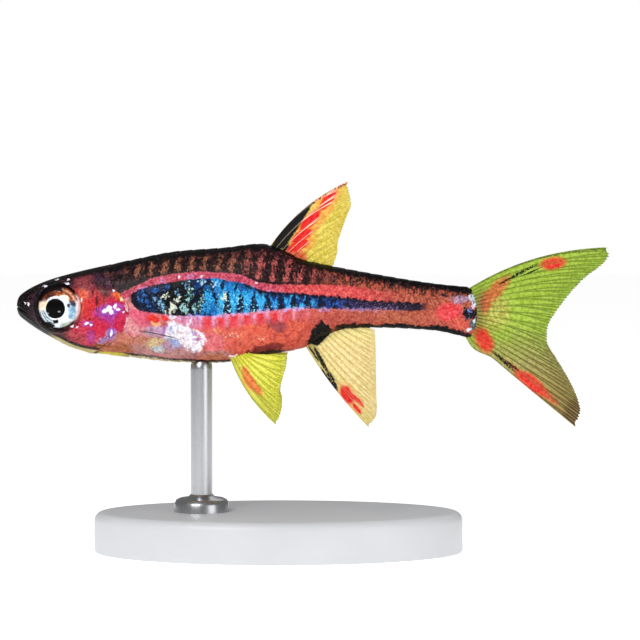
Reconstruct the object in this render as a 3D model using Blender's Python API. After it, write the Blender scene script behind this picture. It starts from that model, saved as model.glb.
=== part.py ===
import math

import bmesh
import bpy
from mathutils import Matrix, Vector

# Chili rasbora, an adult at life size, swimming, on a plain display stand.
# The snout points along -X and the back along +Z. Shares are of the standard length.
MM = 0.001
standard_length = 16.0 * MM
total_share = 1.2842
axis_share = 0.5336
snout_x = -total_share / 2 * standard_length
axis_z = axis_share * standard_length
gap = 0.25 * MM
far = 20 * MM

# Height of the back and depth of the belly from the snout's level, and half the width
back_line = [
    (0.0, 0.0), (0.004, 0.0185), (0.02, 0.033), (0.07, 0.0565), (0.15, 0.0785), (0.25, 0.0995), (0.35, 0.1185),
    (0.45, 0.126), (0.53, 0.1345), (0.575, 0.1215), (0.62, 0.1), (0.66, 0.091), (0.77, 0.07), (0.92, 0.0465),
    (1.0, 0.0395),
]
belly_line = [
    (0.0, 0.0), (0.004, 0.018), (0.02, 0.033), (0.07, 0.065), (0.12, 0.0905), (0.18, 0.1055), (0.25, 0.111),
    (0.35, 0.121), (0.44, 0.1226), (0.5, 0.1115), (0.57, 0.101), (0.62, 0.0905), (0.66, 0.068), (0.7, 0.05),
    (0.78, 0.0465), (0.9, 0.052), (0.96, 0.064), (1.0, 0.075),
]
half_width_line = [
    (0.0, 0.0), (0.004, 0.013), (0.02, 0.026), (0.07, 0.05), (0.13, 0.062), (0.22, 0.067), (0.35, 0.068),
    (0.45, 0.066), (0.55, 0.06), (0.65, 0.046), (0.75, 0.034), (0.88, 0.024), (0.95, 0.0175), (1.0, 0.011),
]
body_sides = 36
body_rings = 60
tail_rounding = 0.975

# The gill cover is a low disc, and its free edge runs on up to the nape and down to the isthmus
gill_centre = (0.1735, -0.0217)
gill_radius = 0.0673
gill_cover_lift = 0.06 * MM
gill_line = [
    (0.2, 0.14), (0.2, 0.08), (0.207, 0.046), (0.2245, 0.0245), (0.2386, 0.0), (0.2419, -0.0282),
    (0.231, -0.0531), (0.2061, -0.0781), (0.168, -0.1), (0.135, -0.125), (0.11, -0.16),
]
gill_line_steps = 26
tail_cut_share = 0.72

eye_centre = (0.0962, -0.001)
eye_radius = 0.795 * MM
eye_seat_y = 0.66 * MM
eye_tilt = math.radians(10)
eye_bulge = 0.3 * MM
eye_depth = 0.22 * MM
eye_sides, eye_rings = 28, 14

mouth_front = (-0.012, 0.006)
mouth_corner = (0.036, -0.0275)
mouth_slit = 0.07 * MM
lip_radius = 0.085 * MM
lip_inset = 0.055 * MM
nostrils = [((0.03, 0.018), 0.11 * MM), ((0.046, 0.0235), 0.13 * MM)]

fin_half_thickness = 0.25 * MM
ray_ridge = 0.07 * MM
columns_per_ray = 3
fin_rows = 8
membrane_dip = 0.03
thin_from, thin_to = 0.72, 0.4

base_size = (12.8 * MM, 7.4 * MM, 1.4 * MM)
base_centre_x = -1.2 * MM
base_bevel = 0.3 * MM
base_sides = 64
rod_radius = 0.38 * MM
rod_share = 0.4
rod_sides = 20


def place(share, height, y=0.0):
    return Vector((snout_x + share * standard_length, y, axis_z + height * standard_length))


# A smooth line through points. Its run is eased near the snout, which comes out round.
def smooth_line(points):
    runs = [math.sqrt(p[0]) for p in points]
    values = [p[1] for p in points]
    slopes = [(values[i + 1] - values[i]) / (runs[i + 1] - runs[i]) for i in range(len(runs) - 1)]
    bends = [slopes[0]]
    for before, after in zip(slopes, slopes[1:]):
        bends.append(0.0 if before * after <= 0 else 2 * before * after / (before + after))
    bends.append(slopes[-1])

    def at(share):
        run = math.sqrt(min(max(share, 0.0), points[-1][0]))
        i = max(k for k in range(len(runs) - 1) if runs[k] <= run or k == 0)
        width = runs[i + 1] - runs[i]
        t = (run - runs[i]) / width
        return (
            values[i] * (1 + 2 * t) * (1 - t) ** 2
            + bends[i] * width * t * (1 - t) ** 2
            + values[i + 1] * t * t * (3 - 2 * t)
            + bends[i + 1] * width * t * t * (t - 1)
        )

    return at


back, belly, half_width = (smooth_line(p) for p in (back_line, belly_line, half_width_line))


# A smooth path through points in the plane of a fin, from 0 at the first point to 1 at the last
def smooth_path(points):
    ends = [Vector(p) for p in points]
    ends = [2 * ends[0] - ends[1], *ends, 2 * ends[-1] - ends[-2]]
    lengths = [(ends[i + 1] - ends[i]).length for i in range(1, len(ends) - 2)]
    total = sum(lengths)

    def at(u):
        left = min(max(u, 0.0), 1.0) * total
        i = 0
        while i < len(lengths) - 1 and left > lengths[i]:
            left -= lengths[i]
            i += 1
        a, b, c, d = ends[i : i + 4]
        t = left / lengths[i]
        return 0.5 * (2 * b + (c - a) * t + (2 * a - 5 * b + 4 * c - d) * t * t
                      + (3 * b - a - 3 * c + d) * t ** 3)

    return at


def ease(t):
    t = min(max(t, 0.0), 1.0)
    return t * t * (3 - 2 * t)


# The tail's root ends in a rounded upright edge
def end_rounding(share):
    past = max(0.0, (share - tail_rounding) / (1 - tail_rounding))
    return math.sqrt(max(0.0, 1 - past * past))


def section(share):
    rounding = end_rounding(share)
    middle = (back(share) - belly(share)) / 2
    half_height = (back(share) + belly(share)) / 2 * rounding
    return middle, half_height, half_width(share) * rounding


# Half the body's width at a height, in metres
def flank_y(share, height):
    middle, half_height, width = section(share)
    offset = (height - middle) / max(half_height, 1e-6)
    return width * math.sqrt(max(0.0, 1 - offset * offset)) * standard_length


def cover_lift(share, height):
    away = math.hypot(share - gill_centre[0], height - gill_centre[1])
    return gill_cover_lift * ease((gill_radius - away) / 0.02) * ease((share - 0.14) / 0.03)


def face_out(bm):
    bm.normal_update()
    bmesh.ops.recalc_face_normals(bm, faces=bm.faces)
    if bm.calc_volume(signed=True) < 0:
        bmesh.ops.reverse_faces(bm, faces=bm.faces)
    bm.normal_update()


def new_object(name, bm, collection):
    mesh = bpy.data.meshes.new(name)
    bm.to_mesh(mesh)
    bm.free()
    obj = bpy.data.objects.new(name, mesh)
    collection.objects.link(obj)
    return obj


# The body is a sphere drawn out along the fish and shaped by its three lines
def body_mesh(name, collection, grown=0.0):
    bm = bmesh.new()
    bmesh.ops.create_uvsphere(bm, u_segments=body_sides, v_segments=body_rings, radius=1)
    for vert in bm.verts:
        share = (1 - vert.co.z) / 2
        turn = math.atan2(vert.co.y, vert.co.x)
        middle, half_height, width = section(share)
        height = middle + half_height * math.cos(turn)
        y = width * standard_length * math.sin(turn)
        y += math.copysign(cover_lift(share, height) * abs(math.sin(turn)), y)
        vert.co = place(share, height, y)
    face_out(bm)
    if grown:
        for vert, normal in [(v, v.normal.copy()) for v in bm.verts]:
            vert.co += normal * grown
    return new_object(name, bm, collection)


# A block through the whole width whose outline, in the side view, is a flat curve
def flat_block(name, outline, collection):
    curve = bpy.data.curves.new(name, "CURVE")
    curve.dimensions = "2D"
    curve.fill_mode = "BOTH"
    curve.extrude = far
    spline = curve.splines.new("POLY")
    spline.points.add(len(outline) - 1)
    for point, corner in zip(spline.points, outline):
        at = place(*corner)
        point.co = (at.x, at.z, 0, 1)
    spline.use_cyclic_u = True
    obj = bpy.data.objects.new(name + "_outline", curve)
    collection.objects.link(obj)
    obj.matrix_world = Matrix.Rotation(math.radians(90), 4, "X")
    return meshed(name, obj, collection)


# A curve object made a closed mesh
def meshed(name, curve_object, collection):
    bpy.context.view_layer.update()
    graph = bpy.context.evaluated_depsgraph_get()
    mesh = bpy.data.meshes.new_from_object(curve_object.evaluated_get(graph))
    bm = bmesh.new()
    bm.from_mesh(mesh)
    bmesh.ops.remove_doubles(bm, verts=bm.verts, dist=1e-6)
    bmesh.ops.transform(bm, matrix=curve_object.matrix_world, verts=bm.verts)
    face_out(bm)
    bpy.data.objects.remove(curve_object)
    bpy.data.meshes.remove(mesh)
    return new_object(name, bm, collection)


def largest_piece(bm):
    left, islands = set(bm.verts), []
    while left:
        island, edge = set(), [left.pop()]
        while edge:
            vert = edge.pop()
            island.add(vert)
            for link in vert.link_edges:
                other = link.other_vert(vert)
                if other in left:
                    left.remove(other)
                    edge.append(other)
        islands.append(island)
    keep = max(islands, key=len)
    bmesh.ops.delete(bm, geom=[v for v in bm.verts if v not in keep], context="VERTS")


# Cuts or joins an object by others, in order, and keeps its largest closed surface
def carve(obj, steps, solver="EXACT"):
    for operation, tool in steps:
        modifier = obj.modifiers.new(operation.lower(), "BOOLEAN")
        modifier.operation = operation
        modifier.solver = solver
        modifier.object = tool
    bpy.context.view_layer.update()
    graph = bpy.context.evaluated_depsgraph_get()
    mesh = bpy.data.meshes.new_from_object(obj.evaluated_get(graph))
    bm = bmesh.new()
    bm.from_mesh(mesh)
    largest_piece(bm)
    bm.to_mesh(mesh)
    bm.free()
    obj.modifiers.clear()
    obj.data = mesh
    return obj


# The free edge of the gill cover, moved back by a share of the length all along its run
def gill_edge(shift=0.0):
    line = smooth_path(gill_line)
    edge = []
    for i in range(gill_line_steps + 1):
        u = i / gill_line_steps
        along = line(u + 0.01) - line(u - 0.01)
        out = Vector((-along.y, along.x)).normalized()
        edge.append(tuple(line(u) + out * shift))
    return edge


# An ellipsoid with its own depth on the outer and the inner side
def eyeball(name, side, collection, grown=0.0, outward=eye_bulge):
    bm = bmesh.new()
    bmesh.ops.create_uvsphere(bm, u_segments=eye_sides, v_segments=eye_rings, radius=1)
    centre = place(*eye_centre, side * eye_seat_y)
    for vert in bm.verts:
        depth = (outward if vert.co.z > 0 else eye_depth) + grown
        radius = eye_radius + grown
        bulb = Vector((vert.co.x * radius, side * vert.co.z * depth, vert.co.y * radius))
        vert.co = centre + Matrix.Rotation(side * eye_tilt, 3, "Z") @ bulb
    face_out(bm)
    return new_object(name, bm, collection)


# A thin slab through the snout opens the mouth as a slit
def mouth_cutter(collection):
    front, corner = place(*mouth_front), place(*mouth_corner)
    along = corner - front
    bm = bmesh.new()
    bmesh.ops.create_cube(bm, size=1)
    bmesh.ops.scale(bm, vec=(along.length, far, mouth_slit), verts=bm.verts)
    slant = math.atan2(-along.z, along.x)
    bmesh.ops.rotate(bm, cent=(0, 0, 0), matrix=Matrix.Rotation(slant, 3, "Y"), verts=bm.verts)
    bmesh.ops.translate(bm, vec=(front + corner) / 2, verts=bm.verts)
    return new_object("mouth_cutter", bm, collection)


# One lip: a round bead along the mouth's rim, from corner to corner round the snout
def lip(name, above, collection, steps=9):
    front, corner = Vector(mouth_front), Vector(mouth_corner)
    first = -front.x / (corner.x - front.x) + 0.02
    rise = (mouth_slit / 2 + lip_radius * 0.75) / standard_length * above
    rim = []
    for i in range(steps + 1):
        t = first + (1 - first) * (i / steps) ** 1.6
        share, height = front.lerp(corner, t)
        skin_point = place(share, height + rise, flank_y(share, height + rise))
        if skin_point.y < lip_radius / 2:
            continue
        inner_point = place(share + 0.03, height + rise, 0)
        rim.append(skin_point + (inner_point - skin_point).normalized() * lip_inset)
    path = [Vector((p.x, -p.y, p.z)) for p in reversed(rim)] + rim
    curve = bpy.data.curves.new(name, "CURVE")
    curve.dimensions = "3D"
    curve.bevel_depth = lip_radius
    curve.bevel_resolution = 1
    curve.use_fill_caps = True
    spline = curve.splines.new("POLY")
    spline.points.add(len(path) - 1)
    for point, at in zip(spline.points, path):
        point.co = (*at, 1)
    obj = bpy.data.objects.new(name + "_path", curve)
    collection.objects.link(obj)
    return meshed(name, obj, collection)


def pit(name, at, radius, side, collection):
    bm = bmesh.new()
    bmesh.ops.create_icosphere(bm, subdivisions=1, radius=radius)
    bmesh.ops.translate(bm, vec=place(*at, side * flank_y(*at)), verts=bm.verts)
    return new_object(name, bm, collection)


# A fin is a sheet of rays spread from its root to its margin, laid out on a grid and thickened
def fin_blade(name, shape, side, collection):
    root = smooth_path(shape["root"])
    margin = smooth_path(shape["margin"])
    columns = columns_per_ray * (shape["rays"] - 1)

    def point(u, v):
        start, tip = root(u), margin(u)
        spread = tip - start
        bow = Vector((-spread.y, spread.x)) * shape["bow"] * (1 - u) * 4 * v * (1 - v)
        share, height = start.lerp(tip, v) + bow
        y = shape["root_y"] + shape["flare"] * v + shape["fan"] * u
        return place(share, height, y * side)

    bm = bmesh.new()
    bmesh.ops.create_grid(bm, x_segments=columns, y_segments=fin_rows, size=0.5)
    bmesh.ops.triangulate(bm, faces=bm.faces)
    lifted = bmesh.ops.extrude_face_region(bm, geom=bm.faces[:], use_keep_orig=True)["geom"]
    for vert in (g for g in lifted if isinstance(g, bmesh.types.BMVert)):
        vert.co.z = 1
    step = 0.02
    for vert in bm.verts:
        u, v = vert.co.x + 0.5, vert.co.y + 0.5
        on_ray = round(u * columns) % columns_per_ray == 0
        v *= 1 if on_ray else 1 - membrane_dip
        across = point(u + step, v) - point(u - step, v)
        along = point(u, v + step) - point(u, v - step)
        normal = across.cross(along).normalized()
        taper = 1 + (thin_to - 1) * ease((v - thin_from) / (1 - thin_from))
        half = (fin_half_thickness + (ray_ridge if on_ray else 0)) * taper
        vert.co = point(u, v) + normal * half * (2 * vert.co.z - 1)
    face_out(bm)
    return new_object(name, bm, collection)


median_fins = {
    "dorsal_fin": {
        "root": [(0.545, 0.117), (0.637, 0.068)],
        "margin": [(0.717, 0.269), (0.7223, 0.241), (0.7256, 0.219), (0.7169, 0.197), (0.705, 0.165),
                   (0.6963, 0.137), (0.695, 0.117), (0.6866, 0.089)],
        "rays": 10, "bow": 0.075,
    },
    "anal_fin": {
        "root": [(0.616, -0.066), (0.694, -0.03)],
        "margin": [(0.7625, -0.2636), (0.7787, -0.243), (0.782, -0.2213), (0.7809, -0.193), (0.7798, -0.15),
                   (0.7787, -0.0954), (0.7765, -0.0515)],
        "rays": 9, "bow": -0.035,
    },
    "caudal_fin_upper": {
        "root": [(0.967, 0.024), (0.98, -0.012)],
        "margin": [(1.2777, 0.127), (1.2842, 0.117), (1.283, 0.104), (1.2646, 0.0846), (1.243, 0.0694),
                   (1.2213, 0.05), (1.1887, 0.013), (1.1562, -0.0347), (1.1512, -0.052)],
        "rays": 10, "bow": 0.075,
    },
    "caudal_fin_lower": {
        "root": [(0.973, -0.062), (0.98, -0.029)],
        "margin": [(1.2115, -0.2625), (1.2223, -0.2364), (1.2234, -0.2213), (1.2148, -0.193), (1.2017, -0.165),
                   (1.1866, -0.1388), (1.1692, -0.1106), (1.153, -0.0846), (1.1508, -0.073)],
        "rays": 9, "bow": -0.012,
    },
}
paired_fins = {
    "pelvic_fin": {
        "root": [(0.4685, -0.112), (0.508, -0.103)],
        "margin": [(0.5618, -0.253), (0.5683, -0.243), (0.5738, -0.2256), (0.5748, -0.204), (0.5705, -0.1865),
                   (0.5738, -0.165), (0.583, -0.1323), (0.5862, -0.1035)],
        "rays": 8, "bow": -0.07, "root_y": 0.3 * MM, "flare": 0.6 * MM, "fan": 0.1 * MM,
    },
    "pectoral_fin": {
        "root": [(0.238, -0.05), (0.232, -0.08)],
        "margin": [(0.385, -0.074), (0.378, -0.094), (0.345, -0.11), (0.305, -0.118)],
        "rays": 9, "bow": 0.03, "root_y": 0.62 * MM, "flare": 1.15 * MM, "fan": -0.1 * MM,
    },
}
skin_colour = (0.42, 0.09, 0.07, 1)
fin_colour = (0.6, 0.56, 0.12, 1)
eye_colour = (0.75, 0.78, 0.8, 1)
plinth_colour = (0.5, 0.5, 0.51, 1)
steel_colour = (0.6, 0.6, 0.62, 1)


def finish(name, colour, roughness, metallic=0.0):
    material = bpy.data.materials.new(name)
    material.use_nodes = True
    shader = material.node_tree.nodes["Principled BSDF"]
    shader.inputs["Base Color"].default_value = colour
    shader.inputs["Roughness"].default_value = roughness
    shader.inputs["Metallic"].default_value = metallic
    return material


def display_base(parts):
    length, width, thickness = base_size
    bm = bmesh.new()
    bmesh.ops.create_cone(bm, cap_ends=True, segments=base_sides, radius1=0.5, radius2=0.5, depth=1)
    bmesh.ops.scale(bm, vec=base_size, verts=bm.verts)
    bmesh.ops.translate(bm, vec=(base_centre_x, 0, thickness / 2), verts=bm.verts)
    rims = [e for e in bm.edges if e.verts[0].co.z > thickness * 0.9 and e.verts[1].co.z > thickness * 0.9]
    bmesh.ops.bevel(bm, geom=rims, offset=base_bevel, affect="EDGES", segments=3, profile=0.5, material=-1)
    return new_object("stand_base", bm, parts)


def display_rod(parts, grown_body):
    foot = base_size[2] + gap
    top = axis_z
    bm = bmesh.new()
    bmesh.ops.create_cone(
        bm, cap_ends=True, segments=rod_sides, radius1=rod_radius, radius2=rod_radius, depth=top - foot
    )
    bmesh.ops.translate(bm, vec=(place(rod_share, 0).x, 0, (foot + top) / 2), verts=bm.verts)
    return carve(new_object("stand_rod", bm, parts), [("DIFFERENCE", grown_body)])


def build():
    for obj in list(bpy.data.objects):
        bpy.data.objects.remove(obj)
    parts = bpy.data.collections.new("chili_rasbora")
    tools = bpy.data.collections.new("cutters")
    for collection in (parts, tools):
        bpy.context.scene.collection.children.link(collection)

    grown_body = body_mesh("grown_body", tools, gap)
    before_gill = [(-0.2, 0.14), *gill_edge(gap / standard_length), (-0.2, -0.16)]
    behind_gill = [(1.4, 0.14), *gill_edge(), (1.4, -0.16)]
    front_block = flat_block("front_block", before_gill, tools)
    rear_block = flat_block("rear_block", behind_gill, tools)
    half_gap = gap / standard_length / 2
    cut = (tail_cut_share - half_gap, tail_cut_share + half_gap)
    fore_block = flat_block("fore_block", [(-0.2, 0.3), (cut[1], 0.3), (cut[1], -0.3), (-0.2, -0.3)], tools)
    aft_block = flat_block("aft_block", [(1.4, 0.3), (cut[0], 0.3), (cut[0], -0.3), (1.4, -0.3)], tools)

    head_steps = [("DIFFERENCE", rear_block)]
    for side, word in ((-1, "left"), (1, "right")):
        eyeball("eye_" + word, side, parts)
        socket = eyeball("socket_" + word, side, tools, gap, eye_bulge * 3)
        head_steps.append(("DIFFERENCE", socket))
        for i, (at, radius) in enumerate(nostrils):
            head_steps.append(("DIFFERENCE", pit(f"nostril_{word}_{i}", at, radius, side, tools)))
    head_steps.append(("UNION", lip("lip_upper", 1, tools)))
    head_steps.append(("UNION", lip("lip_lower", -1, tools)))
    head_steps.append(("DIFFERENCE", mouth_cutter(tools)))
    carve(body_mesh("head", parts), head_steps)
    carve(body_mesh("trunk", parts), [("DIFFERENCE", front_block), ("DIFFERENCE", aft_block)])
    carve(body_mesh("tail_stalk", parts), [("DIFFERENCE", fore_block)])

    for name, shape in median_fins.items():
        blade = fin_blade(name, {"root_y": 0, "flare": 0, "fan": 0, **shape}, 1, parts)
        carve(blade, [("DIFFERENCE", grown_body)])
    for name, shape in paired_fins.items():
        for side, word in ((-1, "left"), (1, "right")):
            blade = fin_blade(f"{name}_{word}", shape, side, parts)
            carve(blade, [("DIFFERENCE", grown_body)], "MANIFOLD")

    display_base(parts)
    display_rod(parts, grown_body)
    for tool in list(tools.objects):
        bpy.data.objects.remove(tool)
    bpy.data.collections.remove(tools)

    finishes = {
        "eye": finish("eye", eye_colour, 0.15),
        "stand_base": finish("stand_base", plinth_colour, 0.45),
        "stand_rod": finish("stand_rod", steel_colour, 0.25, 1.0),
        "fin": finish("fin", fin_colour, 0.45),
        "skin": finish("skin", skin_colour, 0.35),
    }
    for obj in parts.objects:
        kind = next((word for word in finishes if word in obj.name), "skin")
        obj.data.materials.clear()
        obj.data.materials.append(finishes[kind])
        obj.data.shade_smooth()
        obj.data.set_sharp_from_angle(angle=math.radians(40))


build()
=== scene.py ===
import math
import random
import bmesh
import bpy
from mathutils import Matrix, Vector


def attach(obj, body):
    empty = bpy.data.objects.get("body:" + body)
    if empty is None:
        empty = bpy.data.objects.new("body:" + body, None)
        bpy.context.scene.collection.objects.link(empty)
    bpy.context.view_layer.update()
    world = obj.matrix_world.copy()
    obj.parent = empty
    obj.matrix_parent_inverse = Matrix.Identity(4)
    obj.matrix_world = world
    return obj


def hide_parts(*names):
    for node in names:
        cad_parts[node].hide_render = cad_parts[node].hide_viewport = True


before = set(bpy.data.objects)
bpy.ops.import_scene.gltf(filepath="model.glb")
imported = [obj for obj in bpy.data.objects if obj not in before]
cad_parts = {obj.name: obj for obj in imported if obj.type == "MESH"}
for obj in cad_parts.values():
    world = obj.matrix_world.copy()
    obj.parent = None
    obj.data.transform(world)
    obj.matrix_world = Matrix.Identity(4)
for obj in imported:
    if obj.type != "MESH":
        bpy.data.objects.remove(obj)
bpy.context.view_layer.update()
mm = 0.001
print("stage: frame loaded")

# The fish's lines, in shares of its standard length, as in the solids
fish = {
    "length": 16.0 * mm, "totalShare": 1.2842, "axisShare": 0.5336, "tailRounding": 0.975,
    "back": [(0.0, 0.0), (0.004, 0.0185), (0.02, 0.033), (0.07, 0.0565), (0.15, 0.0785), (0.25, 0.0995),
             (0.35, 0.1185), (0.45, 0.126), (0.53, 0.1345), (0.575, 0.1215), (0.62, 0.1), (0.66, 0.091),
             (0.77, 0.07), (0.92, 0.0465), (1.0, 0.0395)],
    "belly": [(0.0, 0.0), (0.004, 0.018), (0.02, 0.033), (0.07, 0.065), (0.12, 0.0905), (0.18, 0.1055),
              (0.25, 0.111), (0.35, 0.121), (0.44, 0.1226), (0.5, 0.1115), (0.57, 0.101), (0.62, 0.0905),
              (0.66, 0.068), (0.7, 0.05), (0.78, 0.0465), (0.9, 0.052), (0.96, 0.064), (1.0, 0.075)],
    "halfWidth": [(0.0, 0.0), (0.004, 0.013), (0.02, 0.026), (0.07, 0.05), (0.13, 0.062), (0.22, 0.067),
                  (0.35, 0.068), (0.45, 0.066), (0.55, 0.06), (0.65, 0.046), (0.75, 0.034), (0.88, 0.024),
                  (0.95, 0.0175), (1.0, 0.011)],
}
fish["snoutX"] = -fish["totalShare"] / 2 * fish["length"]
fish["axisZ"] = fish["axisShare"] * fish["length"]
# Marks on the fish are measured on its picture: where the snout lies across, how far down the axis runs, the
# units from snout to tail root, the picture's middle, the camera's distance and how much nearer places sink
picture = {"snout": 17.0, "level": 306.0, "unit": 461.0, "middle": 320.0, "away": 2400.0, "fall": 0.035}


def place(share, height, y=0.0):
    return Vector((fish["snoutX"] + share * fish["length"], y, fish["axisZ"] + height * fish["length"]))


def smoothLine(points):  # its run is eased near the snout, which comes out round
    runs = [math.sqrt(p[0]) for p in points]
    values = [p[1] for p in points]
    slopes = [(values[i + 1] - values[i]) / (runs[i + 1] - runs[i]) for i in range(len(runs) - 1)]
    bends = [slopes[0]]
    for before, after in zip(slopes, slopes[1:]):
        bends.append(0.0 if before * after <= 0 else 2 * before * after / (before + after))
    bends.append(slopes[-1])

    def at(share):
        run = math.sqrt(min(max(share, 0.0), points[-1][0]))
        i = 0
        while i < len(runs) - 2 and runs[i + 1] < run:
            i += 1
        width = runs[i + 1] - runs[i]
        t = (run - runs[i]) / width
        return (values[i] * (1 + 2 * t) * (1 - t) ** 2 + bends[i] * width * t * (1 - t) ** 2
                + values[i + 1] * t * t * (3 - 2 * t) + bends[i + 1] * width * t * t * (t - 1))

    return at


back, belly, halfWidth = (smoothLine(fish[word]) for word in ("back", "belly", "halfWidth"))


def smoothPath(points):  # from 0 at the first point to 1 at the last
    ends = [Vector(p) for p in points]
    ends = [2 * ends[0] - ends[1], *ends, 2 * ends[-1] - ends[-2]]
    lengths = [(ends[i + 1] - ends[i]).length for i in range(1, len(ends) - 2)]
    total = sum(lengths)

    def at(u):
        left = min(max(u, 0.0), 1.0) * total
        i = 0
        while i < len(lengths) - 1 and left > lengths[i]:
            left -= lengths[i]
            i += 1
        a, b, c, d = ends[i : i + 4]
        t = left / lengths[i]
        return 0.5 * (2 * b + (c - a) * t + (2 * a - 5 * b + 4 * c - d) * t * t
                      + (3 * b - a - 3 * c + d) * t ** 3)

    return at


def ease(t):
    t = min(max(t, 0.0), 1.0)
    return t * t * (3 - 2 * t)


def hump(t):  # 1 at the middle, 0 from 1 outwards
    return ease(1 - abs(t))


def section(share):
    past = max(0.0, (share - fish["tailRounding"]) / (1 - fish["tailRounding"]))
    rounding = math.sqrt(max(0.0, 1 - past * past))
    top, bottom = back(share), belly(share)
    return (top - bottom) / 2, (top + bottom) / 2 * rounding, halfWidth(share) * rounding


def seenPlace(co):  # where the picture shows a place on the fish, across and down
    unit = fish["length"] / picture["unit"]
    side, middle = abs(co.y) / unit, picture["middle"]
    near = side / picture["away"] + 1
    across = (picture["snout"] + (co.x - fish["snoutX"]) / unit - middle) * near + middle
    down = (picture["level"] - (co.z - fish["axisZ"]) / unit - middle) * near + middle
    return Vector((across, down + side * picture["fall"]))


def onBody(share, turn):  # turn is 0 on the back, and positive towards +Y
    middle, halfHeight, width = section(share)
    return place(share, middle + halfHeight * math.cos(turn), width * fish["length"] * math.sin(turn))


def outward(share, turn):
    step = 0.004
    along = onBody(min(share + step, 1.0), turn) - onBody(max(share - step, 0.0), turn)
    around = onBody(share, turn + step) - onBody(share, turn - step)
    return along.cross(around).normalized()


def makePiece(name, bm, finish, smooth=True):
    mesh = bpy.data.meshes.new(name)
    bm.to_mesh(mesh)
    bm.free()
    piece = bpy.data.objects.new(name, mesh)
    bpy.context.scene.collection.objects.link(piece)
    mesh.materials.append(finish.material)
    mesh.polygons.foreach_set("use_smooth", [smooth] * len(mesh.polygons))
    return piece


class Sock:  # a node's output that takes part in sums
    def __init__(self, finish, socket):
        self.finish, self.socket = finish, socket

    def sum(self, operation, a, b=None, c=None):
        values = {i: value for i, value in enumerate((a, b, c)) if value is not None}
        return self.finish.node("Math", {"operation": operation}, values)

    def __add__(self, other):
        return self.sum("ADD", self, other)

    def __sub__(self, other):
        return self.sum("SUBTRACT", self, other)

    def __mul__(self, other):
        return self.sum("MULTIPLY", self, other)

    def __rsub__(self, other):
        return self.sum("SUBTRACT", other, self)

    def __abs__(self):
        return self.sum("ABSOLUTE", self)

    __radd__, __rmul__ = __add__, __mul__


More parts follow.
